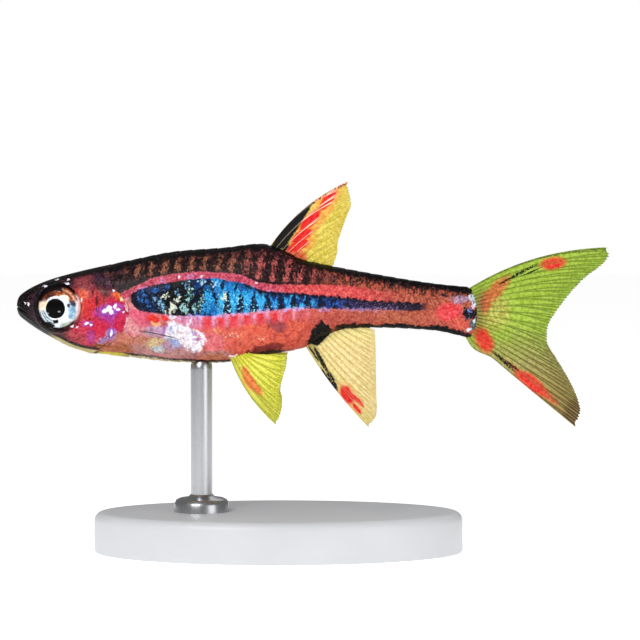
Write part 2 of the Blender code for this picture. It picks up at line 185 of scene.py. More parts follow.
class Finish:  # a material and its nodes
    def __init__(self, name):
        self.material = bpy.data.materials.new(name)
        self.material.use_nodes = True
        self.tree = self.material.node_tree
        self.tree.nodes.clear()

    def node(self, kind, settings=None, inputs=None, output=0):
        made = self.tree.nodes.new("ShaderNode" + kind)
        for key, value in (settings or {}).items():
            if key == "stops":
                ramp = made.color_ramp
                while len(ramp.elements) < len(value):
                    ramp.elements.new(1.0)
                for stop, (at, colour) in zip(ramp.elements, value):
                    stop.position, stop.color = at, colour
            elif key == "line":
                points = made.mapping.curves[0].points
                points[0].location, points[1].location = value[0], value[-1]
                for at in value[1:-1]:
                    points.new(*at)
                made.mapping.update()
            else:
                setattr(made, key, value)
        for key, value in (inputs or {}).items():
            if isinstance(value, Sock):
                self.tree.links.new(value.socket, made.inputs[key])
            else:
                made.inputs[key].default_value = value
        return Sock(self, made.outputs[output]) if made.outputs else None

    def mix(self, share, first, second, blend="MIX"):
        return self.node("Mix", {"data_type": "RGBA", "blend_type": blend, "clamp_factor": True},
                         {0: share, 6: first, 7: second}, 2)

    def inks(self, share, first, second):  # two screen colours mixed
        return self.mix(share, tint(*first), tint(*second))

    def parts(self, vector):
        first = self.node("SeparateXYZ", {}, {0: vector})
        return [Sock(self, output) for output in first.socket.node.outputs]

    def step(self, value, start, end):  # eased from 0 at start to 1 at end
        return self.node("MapRange", {"interpolation_type": "SMOOTHSTEP"}, {0: value, 1: start, 2: end})

    def least(self, a, b):
        return a.sum("MINIMUM", a, b)

    def most(self, a, b):
        return a.sum("MAXIMUM", a, b)

    def noise(self, size, detail=2.0, offset=0.0, vector=None, stretch=(1, 1, 1)):  # size in picture units
        if vector is None:
            moved = {0: self.points, "Location": (offset, offset, offset), "Scale": stretch}
            vector = self.node("Mapping", {}, moved)
        inputs = {"Vector": vector, "Scale": 1 / size, "Detail": detail, "Roughness": 0.6}
        return self.node("TexNoise", {}, inputs)

    def readPicture(self):  # the picture's places, read from the piece's own
        own = self.node("TexCoord", {}, {}, "Object")
        unit = fish["length"] / picture["unit"]
        self.points = self.node("Mapping", {}, {0: own, "Scale": (1 / unit, 1 / unit, 1 / unit)})
        length, side, height = self.parts(self.points)
        side, middle = abs(side), picture["middle"]
        near = side * (1 / picture["away"]) + 1
        self.across = (length + (picture["snout"] - fish["snoutX"] / unit - middle)) * near + middle
        down = ((picture["level"] + fish["axisZ"] / unit - middle) - height) * near
        self.down = down + side * picture["fall"] + middle

    def wobble(self, size, reach, offset=0.0):  # places moved about a little, for ragged edges
        at = self.node("Mapping", {}, {0: self.points, "Location": (offset, offset, offset)})
        noise = self.node("TexNoise", {}, {"Vector": at, "Scale": 1 / size, "Detail": 2.0}, 1)
        red = self.node("SeparateColor", {}, {0: noise})
        green = Sock(self, red.socket.node.outputs[1])
        return self.node("CombineXYZ", {}, {0: self.across + (red - 0.5) * (2 * reach),
                                            1: self.down + (green - 0.5) * (2 * reach), 2: 1.0})

    def spots(self, at, ovals, soft=0.3):  # 1 inside ovals, each across, down, two radii and a turn
        nearest = None
        for x, y, wide, high, turn in ovals:
            c, s = math.cos(math.radians(turn)), math.sin(math.radians(turn))
            run = self.node("VectorMath", {"operation": "DOT_PRODUCT"}, {
                0: at, 1: (c / wide, s / wide, -(c * x + s * y) / wide)}, 1)
            rise = self.node("VectorMath", {"operation": "DOT_PRODUCT"}, {
                0: at, 1: (-s / high, c / high, (s * x - c * y) / high)}, 1)
            reach = run.sum("MULTIPLY_ADD", run, run, rise * rise)
            nearest = reach if nearest is None else self.least(nearest, reach)
        return self.step(nearest, (1 + soft) ** 2, (1 - soft) ** 2)

    def patch(self, at, corners, soft=1.0):  # 1 inside a convex outline that runs clockwise on the picture
        inside = None
        for a, b in zip(corners, corners[1:] + corners[:1]):
            x, y = Vector((a[1] - b[1], b[0] - a[0])).normalized()
            edge = (x, y, -(x * a[0] + y * a[1]))
            depth = self.node("VectorMath", {"operation": "DOT_PRODUCT"}, {0: at, 1: edge}, 1)
            inside = depth if inside is None else self.least(inside, depth)
        return self.step(inside, -soft, soft)

    def level(self, across, points):  # a line on the picture: how far down it lies at each place across
        first, last = points[0][0], points[-1][0]
        high = min(p[1] for p in points) - 1
        low = max(p[1] for p in points) + 1
        line = [((x - first) / (last - first), (y - high) / (low - high)) for x, y in points]
        run = (across - first) * (1 / (last - first))
        return self.node("FloatCurve", {"line": line}, {"Value": run}) * (low - high) + high

    def shader(self, colour, roughness=0.4, **others):
        inputs = {"Base Color": colour, "Roughness": roughness}
        for key, value in others.items():
            inputs[key.replace("_", " ").title().replace("Ior", "IOR")] = value
        shader = self.node("BsdfPrincipled", {}, inputs)
        self.node("OutputMaterial", {}, {"Surface": shader})
        return shader

    def along(self, value, pitch, at):  # how far a value lies from the nearest of many lines a pitch apart
        return self.node("Math", {"operation": "PINGPONG"}, {0: value - at, 1: pitch / 2})

    def bump(self, height, distance, strength=1.0):
        return self.node("Bump", {}, {"Height": height, "Distance": distance, "Strength": strength})


def tint(*screen):  # a screen colour's three values to the shader's
    shares = [value / 255 for value in screen]
    return (*(share / 12.92 if share < 0.0404 else ((share + 0.055) / 1.055) ** 2.4 for share in shares), 1.0)


print("stage: helpers ready")

# Where the colours lie on the fish, in picture units across and down
marks = {
    "pinkTop": [(110, 299), (124, 292), (134, 287), (143, 283), (154, 278), (166, 275.5), (177, 274),
                (200, 272), (218, 273), (235, 274), (246, 277.5), (256, 281.5), (269, 284), (290, 285),
                (328, 285), (354, 287), (384, 291), (410, 294), (440, 297), (482, 298)],
    "stripeTop": [(110, 301), (129, 297), (134, 293.5), (143, 289.3), (155, 286), (166, 284), (178, 282),
                  (192, 280.3), (205, 279.3), (218, 279.6), (228, 281.6), (240, 283.5), (252, 287),
                  (262, 291), (272, 292.5), (300, 293.5), (318, 295), (345, 297), (373, 300.5), (405, 302),
                  (425, 304), (440, 309), (482, 310)],
    "stripeBottom": [(110, 300), (129, 302), (135, 307.5), (143, 311.5), (157, 313.5), (172, 315.3),
                     (189, 316.3), (212, 316), (229, 314), (246, 313), (264, 311), (281, 309.5), (300, 308.5),
                     (315, 309), (341, 309), (366, 309.5), (392, 310), (417, 311), (428, 309), (440, 309),
                     (482, 310)],
    "lowerEdge": [(110, 354), (134, 355.5), (152, 357.5), (170, 360), (188, 361), (215, 362), (240, 360.7),
                  (254, 355.6), (275, 352), (289, 352), (300, 348.7), (306, 345), (328, 335), (340, 329),
                  (375, 328), (410, 329), (440, 331), (464, 336), (482, 340)],
    "barLine": [(110, 277), (128, 272.5), (138, 271), (151, 268), (164, 266), (180, 263), (207, 262.5),
                (232, 264), (250, 268), (290, 276), (330, 281), (380, 289), (482, 296)],
    "crown": [(110, 268), (145, 257.5), (200, 250), (270, 244), (303, 260.5), (345, 268), (400, 278),
              (440, 285), (482, 288)],
    "silverFront": [(168.5, 319.5), (190.5, 328), (197.5, 332), (190, 341), (180, 340.5), (166, 337)],
    "silverRear": [(187.5, 327), (203.5, 334), (205.5, 342), (200, 351), (190, 351), (180, 341)],
    "analBlot": [(320.5, 320), (334, 330.5), (318, 346), (307, 343.5), (313, 329)],
    "tailBlot": [(464.5, 309), (476, 308.5), (478.5, 313), (473.5, 319), (466.5, 319), (461, 315)],
}
backBars = {"pitch": 13.5, "at": 138.0, "slant": 0.2}
stripeWedges = {"pitch": 13.4, "at": 227.3}
# Dabs of paint, laid on in turn: how strong, how soft, two inks mixed by a grain, and ovals, each a place
# across and down, two radii and a turn
chestDabs = [
    (0.85, 0.5, (186, 104, 74), (212, 144, 112), [(134, 343, 17, 9, 6), (152, 341, 14, 4, 4)]),
    (0.8, 0.5, (158, 104, 108), (190, 140, 130), [(146, 350, 14, 5, 4)]),
    (0.85, 0.5, (214, 128, 140), (240, 184, 182), [(134, 323, 9, 12, 0), (148, 329, 12, 6, 8)]),
    (0.8, 0.5, (200, 58, 96), (226, 104, 130), [(144, 318, 8, 9, 0), (133, 314, 6, 4, 20)]),
    (0.8, 0.5, (186, 152, 196), (216, 190, 206), [(157, 331, 10, 5, 0)]),
    (0.8, 0.4, (170, 116, 186), (196, 160, 214), [(165.5, 332, 4, 5, 0)]),
    (0.95, 0.35, (222, 30, 28), (234, 70, 54), [(154, 319, 6.5, 3.2, 6), (167, 317, 4.5, 3, 0)]),
    (0.95, 0.4, (250, 170, 104), (255, 222, 176), [(155.5, 323.6, 4, 2, 0)]),
    (0.8, 0.5, (204, 126, 166), (226, 164, 190), [(184, 319, 7, 6, 0), (195, 320, 4.5, 8, 0)]),
    (0.9, 0.4, (142, 196, 236), (190, 224, 246), [(176, 339.5, 12, 2.8, 4)]),
    (0.8, 0.5, (156, 122, 160), (186, 160, 184), [(170, 346, 8, 4.6, 0), (184, 346, 5, 4, 0)]),
    (0.85, 0.4, (126, 160, 222), (180, 200, 236), [(175.5, 343.5, 4.5, 4, 0)]),
    (0.85, 0.5, (206, 184, 122), (236, 216, 168), [(155, 343, 8, 4.6, -10)]),
    (0.85, 0.5, (158, 194, 206), (212, 230, 226), [(159, 349.5, 7, 3, 10)]),
    (0.8, 0.5, (158, 108, 110), (196, 150, 140), [(186, 354, 22, 5, 3), (216, 354, 14, 4, 0)]),
    (0.7, 0.5, (180, 104, 66), (206, 140, 96), [(213, 358, 16, 3, 0)]),
    (0.9, 0.5, (140, 74, 46), (190, 116, 76), [(108, 350, 15, 5, -4), (124, 349, 8, 4, 0)]),
    (0.7, 0.5, (226, 104, 118), (240, 150, 150), [(214, 342, 9, 8, 0)]),
    (0.8, 0.4, (248, 140, 96), (255, 200, 156), [(217, 331, 3.4, 2.6, 0)]),
]
flankDabs = [
    (0.75, 0.5, (112, 36, 60), (164, 76, 80), [(277, 325, 9, 4.6, 22)]),
    (0.8, 0.4, (82, 24, 32), (146, 56, 52), [(268, 347.5, 14, 3.8, -8), (252, 352, 7, 2, -20)]),
    (0.9, 0.4, (214, 176, 188), (250, 236, 240), [(235, 357, 5.5, 1.8, 0)]),
]
# the light cells between the stripe's black lines
stripeGlow = [
    (0.85, 0.5, (0, 118, 208), (70, 200, 240), [
        (207, 299, 6, 12, 10), (218, 284, 5, 5, 0), (221.5, 300, 4, 13, 6), (234, 296, 4, 13, 8),
        (247, 297, 4, 11, 10), (261, 299, 3.6, 9, 10)]),
]
stripeDabs = [
    (0.9, 0.35, (20, 70, 140), (52, 120, 196), [
        (141.5, 296.5, 4, 5.5, 0), (148.5, 304.5, 3.4, 3.8, 20), (155.5, 291, 4.2, 2.8, -20),
        (167, 287.5, 4.2, 3.4, -20)]),
    (0.9, 0.3, (96, 150, 200), (150, 200, 226), [
        (186.5, 284, 2.6, 3.4, 0), (154, 298.5, 2.4, 2.8, 0), (177, 292, 2.4, 3, 0),
        (161.5, 305.5, 3.4, 6, -18)]),
    (0.95, 0.25, (96, 170, 184), (190, 226, 206), [
        (189.8, 295, 3.2, 8, 6), (184.5, 308.5, 3.2, 5.8, -32), (196.5, 308, 4.8, 4.2, -20),
        (202, 301, 3, 4.4, 20)]),
    (0.9, 0.3, (110, 180, 226), (190, 224, 236), [(201.5, 282, 3.2, 2.8, -24), (215.5, 284, 2.6, 2.6, -20)]),
    (1.0, 0.3, (196, 216, 190), (250, 252, 240), [
        (165, 296, 4.4, 1.9, -15), (173, 307, 3, 5, 8), (170, 312.5, 4.4, 2.4, -30),
        (177.5, 299, 2.6, 2.4, 0), (225, 297, 1.8, 4.4, -12)]),
]
tailDabs = [
    (0.9, 0.5, (222, 44, 58), (240, 100, 104), [(450, 312, 12, 8, 0)]),
    (0.8, 0.5, (206, 80, 66), (226, 116, 96), [(459, 324, 9, 5, 10)]),
    (0.85, 0.4, (150, 116, 146), (214, 188, 206), [(461, 299.5, 9, 3.6, 0)]),
    (0.9, 0.4, (20, 14, 22), (60, 56, 74), [(476, 293, 6, 4.6, 14)]),
    (0.85, 0.4, (196, 130, 142), (240, 206, 214), [(474, 307, 3.6, 2, 0), (465, 311, 2, 1.6, 0)]),
    (0.9, 0.4, (30, 52, 62), (80, 120, 136), [(475, 323, 4, 6, 10)]),
    (0.85, 0.4, (190, 92, 80), (224, 150, 130), [(482, 306, 4, 12, 0)]),
]


flankSpots = {
    "silver": [(173, 314, 4, 5, 0), (189, 322, 1.4, 4, 16)],
    "violets": [(194.5, 333.5, 3, 2.6, 0), (197, 339.5, 6, 1.4, 0), (171, 329, 1.6, 4, 10)],
    "cream": [(231, 335.5, 10, 3, 0), (262, 338, 4, 2, 0)],
    "throat": [(113, 353.8, 14, 1.7, 5)],
    "lilac": [(162, 281, 3, 1.6, -20), (189, 277.5, 4, 1.8, 0), (143, 289, 5, 1, -24)],
    # painted highlights on the pink line
    "pinkHighlights": [(179.3, 277, 1, 2.2, 0), (201.5, 276.5, 1.8, 1.2, -30), (257, 283, 1.3, 1, 0)],
    "slots": [(214.5, 295, 1.7, 12, -16), (199, 297, 3.4, 15, 24), (209.5, 283, 3.2, 4.5, -20),
              (223, 284, 2, 5, 20), (236.5, 287, 1.6, 5, 24)],
    "tailLight": [(472, 297.5, 3.4, 3.4, -30), (474.5, 303.5, 2.4, 3.4, 0), (474, 321, 1.4, 2.6, 10),
                  (469, 330, 3, 1.5, -40)],
    "tailDark": [(473.5, 302, 1.2, 1.4, 0), (467, 335, 5, 2.4, 20)],
    "tailBlue": [(470.5, 311, 3, 1.2, 40), (468.5, 317, 2, 0.8, 0)],
}
bellyRamp = {
    "from": 125, "run": 355, "stops": [
        (0.0, (208, 134, 140)), (0.1, (210, 116, 124)), (0.24, (216, 92, 90)), (0.34, (222, 92, 72)),
        (0.48, (208, 78, 60)), (0.56, (180, 68, 62)), (0.66, (168, 74, 62)), (0.78, (164, 86, 60)),
        (0.86, (172, 80, 62)), (1.0, (186, 80, 72))],
}
stripeRamp = {
    "from": 130, "run": 300, "stops": [
        (0.0, (10, 8, 16)), (0.03, (16, 22, 44)), (0.07, (16, 40, 84)), (0.11, (8, 12, 20)),
        (0.2, (6, 8, 12)), (0.245, (4, 82, 164)), (0.32, (4, 98, 180)), (0.45, (8, 100, 190)),
        (0.56, (14, 76, 160)), (0.66, (20, 50, 112)), (0.76, (52, 36, 74)), (1.0, (56, 32, 48))],
}
stalkLine = [(285, 8), (320, 11), (380, 7), (420, 7), (482, 6)]


def dab(f, colour, at, grain, dabs):
    for strength, soft, ink, second, ovals in dabs:
        shown = f.spots(at, ovals, soft) * strength
        colour = f.mix(shown, colour, tint(*ink))
        colour = f.mix(shown * grain, colour, tint(*second))
    return colour


def rampAlong(f, across, ramp):
    stops = [(at, tint(*ink)) for at, ink in ramp["stops"]]
    return f.node("ValToRGB", {"stops": stops}, {0: (across - ramp["from"]) * (1 / ramp["run"])})


def mottled(f, colour, strength):  # darker veins and a few light grains over the paint
    veins = f.step(f.noise(3.4, 3.0, 47.0), 0.5, 0.68)
    colour = f.mix(veins * strength, colour, tint(206, 180, 184), "MULTIPLY")
    pits = f.step(f.noise(2.2, 2.0, 71.0), 0.54, 0.68)
    colour = f.mix(pits * strength * 0.6, colour, tint(200, 178, 182), "MULTIPLY")
    grains = f.step(f.noise(1.7, 1.0, 97.0), 0.66, 0.72)
    return f.mix(grains * strength * 0.7, colour, tint(110, 90, 84), "ADD")


def flankPlaces(f):  # the ragged places, grains and lines that all the flank's paints share
    f.ragged, f.close, f.torn = f.wobble(5.0, 4.4), f.wobble(2.6, 1.8, 13.0), f.wobble(3.4, 6.5, 41.0)
    f.tornAcross = f.parts(f.torn)[0]
    f.raggedAcross, f.raggedDown = f.parts(f.ragged)[:2]
    f.closeAcross, f.closeDown = f.parts(f.close)[:2]
    f.fine, f.speck, f.mottle = f.noise(2.6, 4.0), f.noise(1.5, 3.0, 31.0), f.noise(7.0, 3.0, 17.0)
    f.grain = f.step(f.fine, 0.4, 0.64)
    f.pinkTop, f.stripeTop, f.stripeBottom, f.lowerEdge = (
        f.level(f.across, marks[word]) for word in ("pinkTop", "stripeTop", "stripeBottom", "lowerEdge"))


def paintBelly(f):  # the flank below the stripe, from the gill to the tail, and where it is silver
    across, close, ragged = f.across, f.close, f.ragged
    grain, mottle, fine = f.grain, f.mottle, f.fine
    colour = f.mix(grain * 0.45, rampAlong(f, f.raggedAcross, bellyRamp), tint(236, 138, 106))
    colour = f.mix(f.step(mottle, 0.52, 0.66) * 0.5, colour, tint(150, 44, 48))
    rosy = f.step(f.raggedDown - f.stripeBottom, 15, 8) * f.step(across, 330, 250) * f.step(across, 186, 200)
    colour = f.mix(rosy * 0.8, colour, f.inks(grain, (224, 130, 158), (216, 84, 106)))
    colour = dab(f, colour, ragged, grain, chestDabs)
    silver = f.most(f.patch(ragged, marks["silverFront"], 1.6), f.patch(ragged, marks["silverRear"], 1.6))
    silver = f.most(silver, f.spots(ragged, flankSpots["silver"]))
    colour = f.mix(silver * 0.7, colour, tint(216, 190, 214))
    silver = silver * f.step(mottle + fine * 0.5, 0.54, 0.64)
    colour = f.mix(silver, colour, f.inks(f.step(fine, 0.42, 0.56), (222, 226, 244), (255, 255, 255)))
    violets = f.spots(close, flankSpots["violets"])
    colour = f.mix(violets * 0.75, colour, f.inks(f.step(across, 190, 196), (150, 164, 214), (190, 120, 180)))
    colour = dab(f, colour, ragged, f.step(mottle, 0.36, 0.56), flankDabs)
    cream = f.spots(close, flankSpots["cream"]) * f.step(f.speck, 0.52, 0.58)
    colour = f.mix(cream * 0.8, colour, tint(255, 206, 176))
    keel = f.step(f.lowerEdge - f.closeDown, 2.8, 1.4) * f.step(across, 292, 280)
    colour = f.mix(keel * 0.95, colour, tint(16, 10, 10))
    edging = f.step(f.lowerEdge - f.closeDown, 0.4, -0.8) * f.step(across, 240, 226)
    colour = f.mix(edging * 0.85, colour, tint(206, 198, 140))
    return f.mix(f.spots(close, flankSpots["throat"]), colour, tint(200, 188, 40)), silver


def paintComb(f, colour, drop):  # pale arcs between red blots right under the stripe
    across, mottle = f.across, f.mottle
    between = f.along(f.closeAcross, stripeWedges["pitch"], stripeWedges["at"])
    blots = f.step(between + (mottle - 0.5) * 6, 2.0, 4.4) * f.step(drop, 0.5, 3.0) * f.step(drop, 17, 8)
    blots = blots * f.step(across, 194, 208) * f.step(across, 300, 276)
    colour = f.mix(blots * 0.85, colour, f.inks(f.grain, (216, 28, 42), (240, 74, 72)))
    streaks = f.step(between + drop * 0.1, 2.6, 1.2) * f.step(drop, -1.5, 0.5) * f.step(drop, 14, 6)
    streaks = streaks * f.step(across, 178, 192) * f.step(across, 330, 280) * f.step(mottle, 0.36, 0.5)
    return f.mix(streaks * 0.75, colour, tint(230, 176, 222))


def paintBack(f):  # over the pink line: brown bars, then red flames, then the stalk's mottles
    across, fine, speck = f.across, f.fine, f.speck
    back = f.inks(f.step(fine, 0.42, 0.7), (16, 8, 12), (70, 36, 38))
    back = f.mix(f.step(speck, 0.6, 0.7) * 0.5, back, tint(116, 78, 78))
    barLine = f.level(across, marks["barLine"])
    streaky = f.noise(2.6, 3.0, 5.0, stretch=(1, 1, 0.3))
    slanted = f.closeAcross + (f.raggedDown - barLine) * backBars["slant"]
    beat = f.along(slanted, backBars["pitch"], backBars["at"])
    f.above = f.pinkTop - f.closeDown
    rear = f.step(across, 222, 262)
    reach = (f.step(abs(f.closeDown - barLine), 11, 5) * (1 - rear)
             + f.step(f.above, 31, 20) * f.step(f.above, 1, 4) * rear)
    bars = f.step(streaky + (2.9 - beat) * 0.045, 0.47, 0.62) * reach * f.step(across, 116, 126)
    ink = f.mix(rear, f.inks(f.step(speck, 0.42, 0.62), (104, 58, 42), (184, 118, 86)),
                f.inks(f.step(speck, 0.4, 0.6), (120, 44, 48), (200, 104, 96)))
    back = f.mix(bars * f.step(across, 352, 310), back, ink)
    napeInk = f.inks(f.step(f.mottle, 0.44, 0.64), (10, 6, 10), (72, 38, 48))
    back = f.mix(f.step(across, 134, 120), back, napeInk)
    strokes = f.step(streaky, 0.56, 0.64) * f.step(f.above, 3, 8) * f.step(across, 350, 320) * 0.6
    back = f.mix(strokes, back, f.inks(rear, (112, 66, 60), (170, 78, 80)))
    stalk = f.step(across, 300, 352)
    patchy = streaky + (speck - 0.5) * 0.3 + f.above * 0.008
    brown = f.inks(f.step(patchy, 0.46, 0.6), (178, 82, 62), (58, 26, 28))
    brown = f.mix(f.step(speck, 0.56, 0.66) * 0.7, brown, tint(222, 146, 104))
    lower = f.level(across, stalkLine)
    back = f.mix(stalk * f.step(f.above + (streaky - 0.5) * 26, lower + 4, lower - 4), back, brown)
    return back, bars


def paintPinkLine(f):  # over the stripe
    across, grain = f.across, f.grain
    toStripe = f.stripeTop - f.closeDown
    band = f.step(f.above, 1.0, -1.0) * f.step(toStripe, -1.5, 0.5)
    pink = f.inks(grain, (166, 44, 70), (218, 98, 120))
    pink = f.mix(f.step(across, 262, 310), pink, f.inks(grain, (200, 56, 62), (232, 108, 102)))
    pink = f.mix(f.step(across, 350, 420), pink, f.inks(grain, (150, 66, 50), (196, 112, 84)))
    lilac = f.step(toStripe, 2.6, 0.6) * f.step(f.mottle, 0.5, 0.58) * f.step(across, 300, 260)
    lilac = f.most(lilac, f.spots(f.torn, flankSpots["lilac"]) * 0.8)
    pink = f.mix(lilac * 0.8, pink, tint(196, 150, 214))
    # painted highlights: whitish-pink spots and specks along the pink line
    pinkHighlights = f.most(f.spots(f.close, flankSpots["pinkHighlights"]), f.step(f.speck, 0.66, 0.72) * 0.6)
    return f.mix(pinkHighlights, pink, tint(255, 220, 232)), band


def stripeDark(f, wedge, rise):  # dark wedges from below, others hanging from above, and slots between
    wedges = f.step(wedge - rise * 3.8, 0.7, -0.7) * f.step(rise, 0.04, 0.14)
    high = f.along(f.raggedAcross, stripeWedges["pitch"], stripeWedges["at"] + stripeWedges["pitch"] / 2)
    hang = f.step(f.closeDown - f.stripeTop, 9, 1) * f.step(f.across, 206, 256)
    wedges = f.most(wedges, f.step(high - hang * 4.4, 0.9, -0.9) * hang)
    return f.most(wedges, f.spots(f.ragged, flankSpots["slots"]))


def paintStripe(f):  # black with light cells in front, bright blue with dark wedges, then a dark zigzag
    across, ragged, speck, mottle, fine = f.across, f.ragged, f.speck, f.mottle, f.fine
    saw = f.along(f.tornAcross, 8.6, 4.0) * f.step(across, 250, 330) * 0.55
    shown = f.least(f.closeDown - f.stripeTop + 1.0 - saw, f.stripeBottom - f.closeDown)
    shown = f.step(shown, -0.8, 0.8) * f.step(across, 432, 420) * f.step(f.closeAcross, 129, 132)
    stripe = rampAlong(f, f.raggedAcross, stripeRamp)
    lit = f.step(mottle, 0.5, 0.62) * f.step(across, 206, 214) * f.step(across, 330, 300) * 0.6
    stripe = f.mix(lit, stripe, tint(24, 150, 222))
    fewer = f.step(abs(across - 184), 26, 20) * 0.45
    flecks = f.step(speck, 0.57, 0.65) * f.step(across, 136, 142) * (0.6 - fewer)
    fleckInk = f.inks(f.step(across, 196, 214) * f.step(across, 340, 312), (72, 96, 140), (96, 196, 238))
    stripe = f.mix(flecks, stripe, fleckInk)
    shade = f.step(mottle, 0.48, 0.38) * f.step(across, 204, 212) * f.step(across, 320, 290) * 0.7
    stripe = f.mix(shade, stripe, tint(8, 40, 100))
    stripe = dab(f, stripe, ragged, f.step(speck, 0.42, 0.6), stripeGlow)
    wedge = f.along(f.raggedAcross, stripeWedges["pitch"], stripeWedges["at"])
    rise = f.step(f.closeDown, 285, 310) * f.step(across, 214, 224)
    gleam = f.step(abs(wedge - rise * 4.6 - 1.2), 1.3, 0.4) * f.step(rise, 0.1, 0.3)
    gleam = gleam * f.step(across, 330, 300)
    stripe = f.mix(gleam * f.step(mottle, 0.4, 0.54) * 0.8, stripe, tint(70, 190, 238))
    wedges = stripeDark(f, wedge, rise)
    stripe = f.mix(wedges * 0.92, stripe, f.inks(f.step(across, 330, 360), (8, 10, 30), (26, 20, 36)))
    bright = f.step(speck + (fine - 0.5) * 0.4, 0.56, 0.64) * f.step(across, 318, 334)
    bright = bright * f.step(across, 424, 380) * 0.75
    stripe = f.mix(bright, stripe, f.inks(f.step(across, 340, 372), (40, 110, 214), (136, 112, 170)))
    rim = f.step(f.closeDown - f.stripeTop, 3.0, 1.2) * f.step(across, 240, 262)
    stripe = f.mix(rim * 0.9, stripe, tint(12, 14, 34))
    stripe = dab(f, stripe, f.torn, f.step(speck, 0.42, 0.6), stripeDabs)
    veins = f.step(abs(f.noise(7.0, 2.0, 63.0) - 0.5), 0.06, 0.034)
    veins = veins * f.step(across, 134, 140) * f.step(across, 214, 204)
    stripe = f.mix(veins * 0.9, stripe, tint(4, 5, 8))
    dots = f.step(f.noise(2.0, 1.0, 57.0), 0.6, 0.66) * f.step(across, 212, 220) * f.step(across, 326, 300)
    return f.mix(dots * f.step(f.closeDown - f.stripeTop, 9, 16), stripe, tint(150, 230, 246)), shown


def paintEdges(f, colour):  # black by the anal fin and on the stalk's edges, and the marks at the tail's root
    across, close, torn, speck = f.across, f.close, f.torn, f.speck
    anal = f.patch(f.ragged, marks["analBlot"], 0.9)
    edge = f.step(f.lowerEdge - f.raggedDown, 5.0, 3.4) * f.step(across, 326, 340) * f.step(across, 470, 462)
    colour = f.mix(f.most(anal, edge), colour, f.inks(f.step(speck, 0.66, 0.72), (6, 5, 8), (70, 64, 76)))
    colour = dab(f, colour, f.ragged, f.grain, tailDabs)
    light = f.spots(close, flankSpots["tailLight"])
    colour = f.mix(light, colour, tint(214, 234, 244))
    ridge = f.step(f.level(across, marks["crown"]) - f.raggedDown, -7.5, -4.0)
    dark = f.most(f.patch(torn, marks["tailBlot"], 0.8), f.spots(torn, flankSpots["tailDark"]))
    colour = f.mix(f.most(ridge, dark), colour, f.inks(f.step(speck, 0.64, 0.72), (7, 6, 9), (74, 62, 56)))
    return f.mix(f.spots(torn, flankSpots["tailBlue"]), colour, tint(120, 140, 206)), light


def paintFlank(f):  # colour and masks of the body behind the head
    flankPlaces(f)
    colour, silver = paintBelly(f)
    drop = f.raggedDown - f.stripeBottom
    colour = paintComb(f, colour, drop)
    back, bars = paintBack(f)
    onBack = f.step(f.above, -1.0, 1.0)
    colour = f.mix(onBack, colour, back)
    pink, pinkBand = paintPinkLine(f)
    colour = f.mix(pinkBand, colour, pink)
    stripe, inStripe = paintStripe(f)
    colour = f.mix(inStripe, colour, stripe)
    fringe = f.step(abs(drop - 0.4), 2.4, 0.8) * f.step(f.mottle + (f.speck - 0.5) * 0.4, 0.48, 0.54)
    fringe = fringe * f.step(f.across, 160, 176) * (0.8 - f.step(f.across, 300, 350) * 0.5)
    colour = f.mix(fringe * f.step(f.across, 410, 380), colour, tint(196, 176, 236))
    colour, light = paintEdges(f, colour)
    return {"colour": mottled(f, colour, 0.7), "onBack": onBack, "inStripe": inStripe, "bars": bars,
            "silver": f.most(silver, light)}


headDabs = [
    (1.0, 0.25, (160, 36, 50), (198, 80, 78), [(98, 303, 27, 24, 0)]),
    (0.7, 0.5, (216, 80, 50), (240, 136, 84), [(83, 300, 4, 14, 4)]),
    (0.75, 0.5, (190, 26, 42), (214, 56, 60), [(91, 309, 8, 11, 0)]),
    (0.9, 0.4, (104, 38, 48), (156, 72, 78), [(88, 281, 13, 8, -14)]),
    (0.85, 0.4, (62, 28, 32), (118, 66, 62), [(103, 285, 6, 12, -22)]),
    (1.0, 0.25, (176, 28, 62), (208, 76, 92), [(93, 334, 29, 13, 12)]),
    (1.0, 0.2, (162, 22, 66), (192, 48, 88), [(116, 322, 13, 27, 4)]),
    (0.6, 0.5, (142, 40, 140), (182, 74, 176), [(109, 316, 13, 6.5, 10)]),
    (0.8, 0.5, (184, 16, 54), (206, 44, 76), [(99, 327, 9, 7, 0), (117, 303, 7, 7, 0), (120, 322, 5, 9, 10)]),
    (0.8, 0.5, (120, 100, 150), (180, 150, 190), [(111, 336, 6, 5, -50), (103, 341, 6, 3, -30)]),
    (0.7, 0.5, (140, 34, 116), (184, 80, 150), [(91, 337, 4, 6, 0)]),
    (0.95, 0.4, (60, 26, 32), (104, 54, 54), [(61, 333.5, 19, 6, 24)]),
    (0.7, 0.5, (160, 50, 64), (196, 84, 84), [(76, 337, 9, 5, 26)]),
    (0.95, 0.35, (100, 46, 30), (176, 104, 58), [(104, 348, 17, 4.6, -3)]),
    (0.8, 0.4, (176, 98, 72), (206, 140, 110), [(121, 341, 11, 7, -25)]),
    (0.95, 0.3, (200, 56, 24), (240, 134, 60), [(122, 295.5, 8, 5.4, 10)]),
]
napeDabs = [
    (0.6, 0.5, (34, 18, 30), (70, 42, 58), [(34, 308, 4.5, 17, 4)]),
    (0.6, 0.5, (96, 60, 72), (150, 112, 124), [
        (115.5, 282.5, 2.6, 2.6, 0), (109, 284, 2, 3, 0), (116, 274, 3, 2, 0)]),
    (0.6, 0.5, (90, 50, 42), (140, 88, 70), [(108, 273, 3, 4, 0), (117, 268, 2.4, 4, 10)]),
    (0.4, 0.6, (48, 24, 42), (90, 52, 78), [(100, 277, 6, 6, 0), (113, 287, 7, 4, 0)]),
]
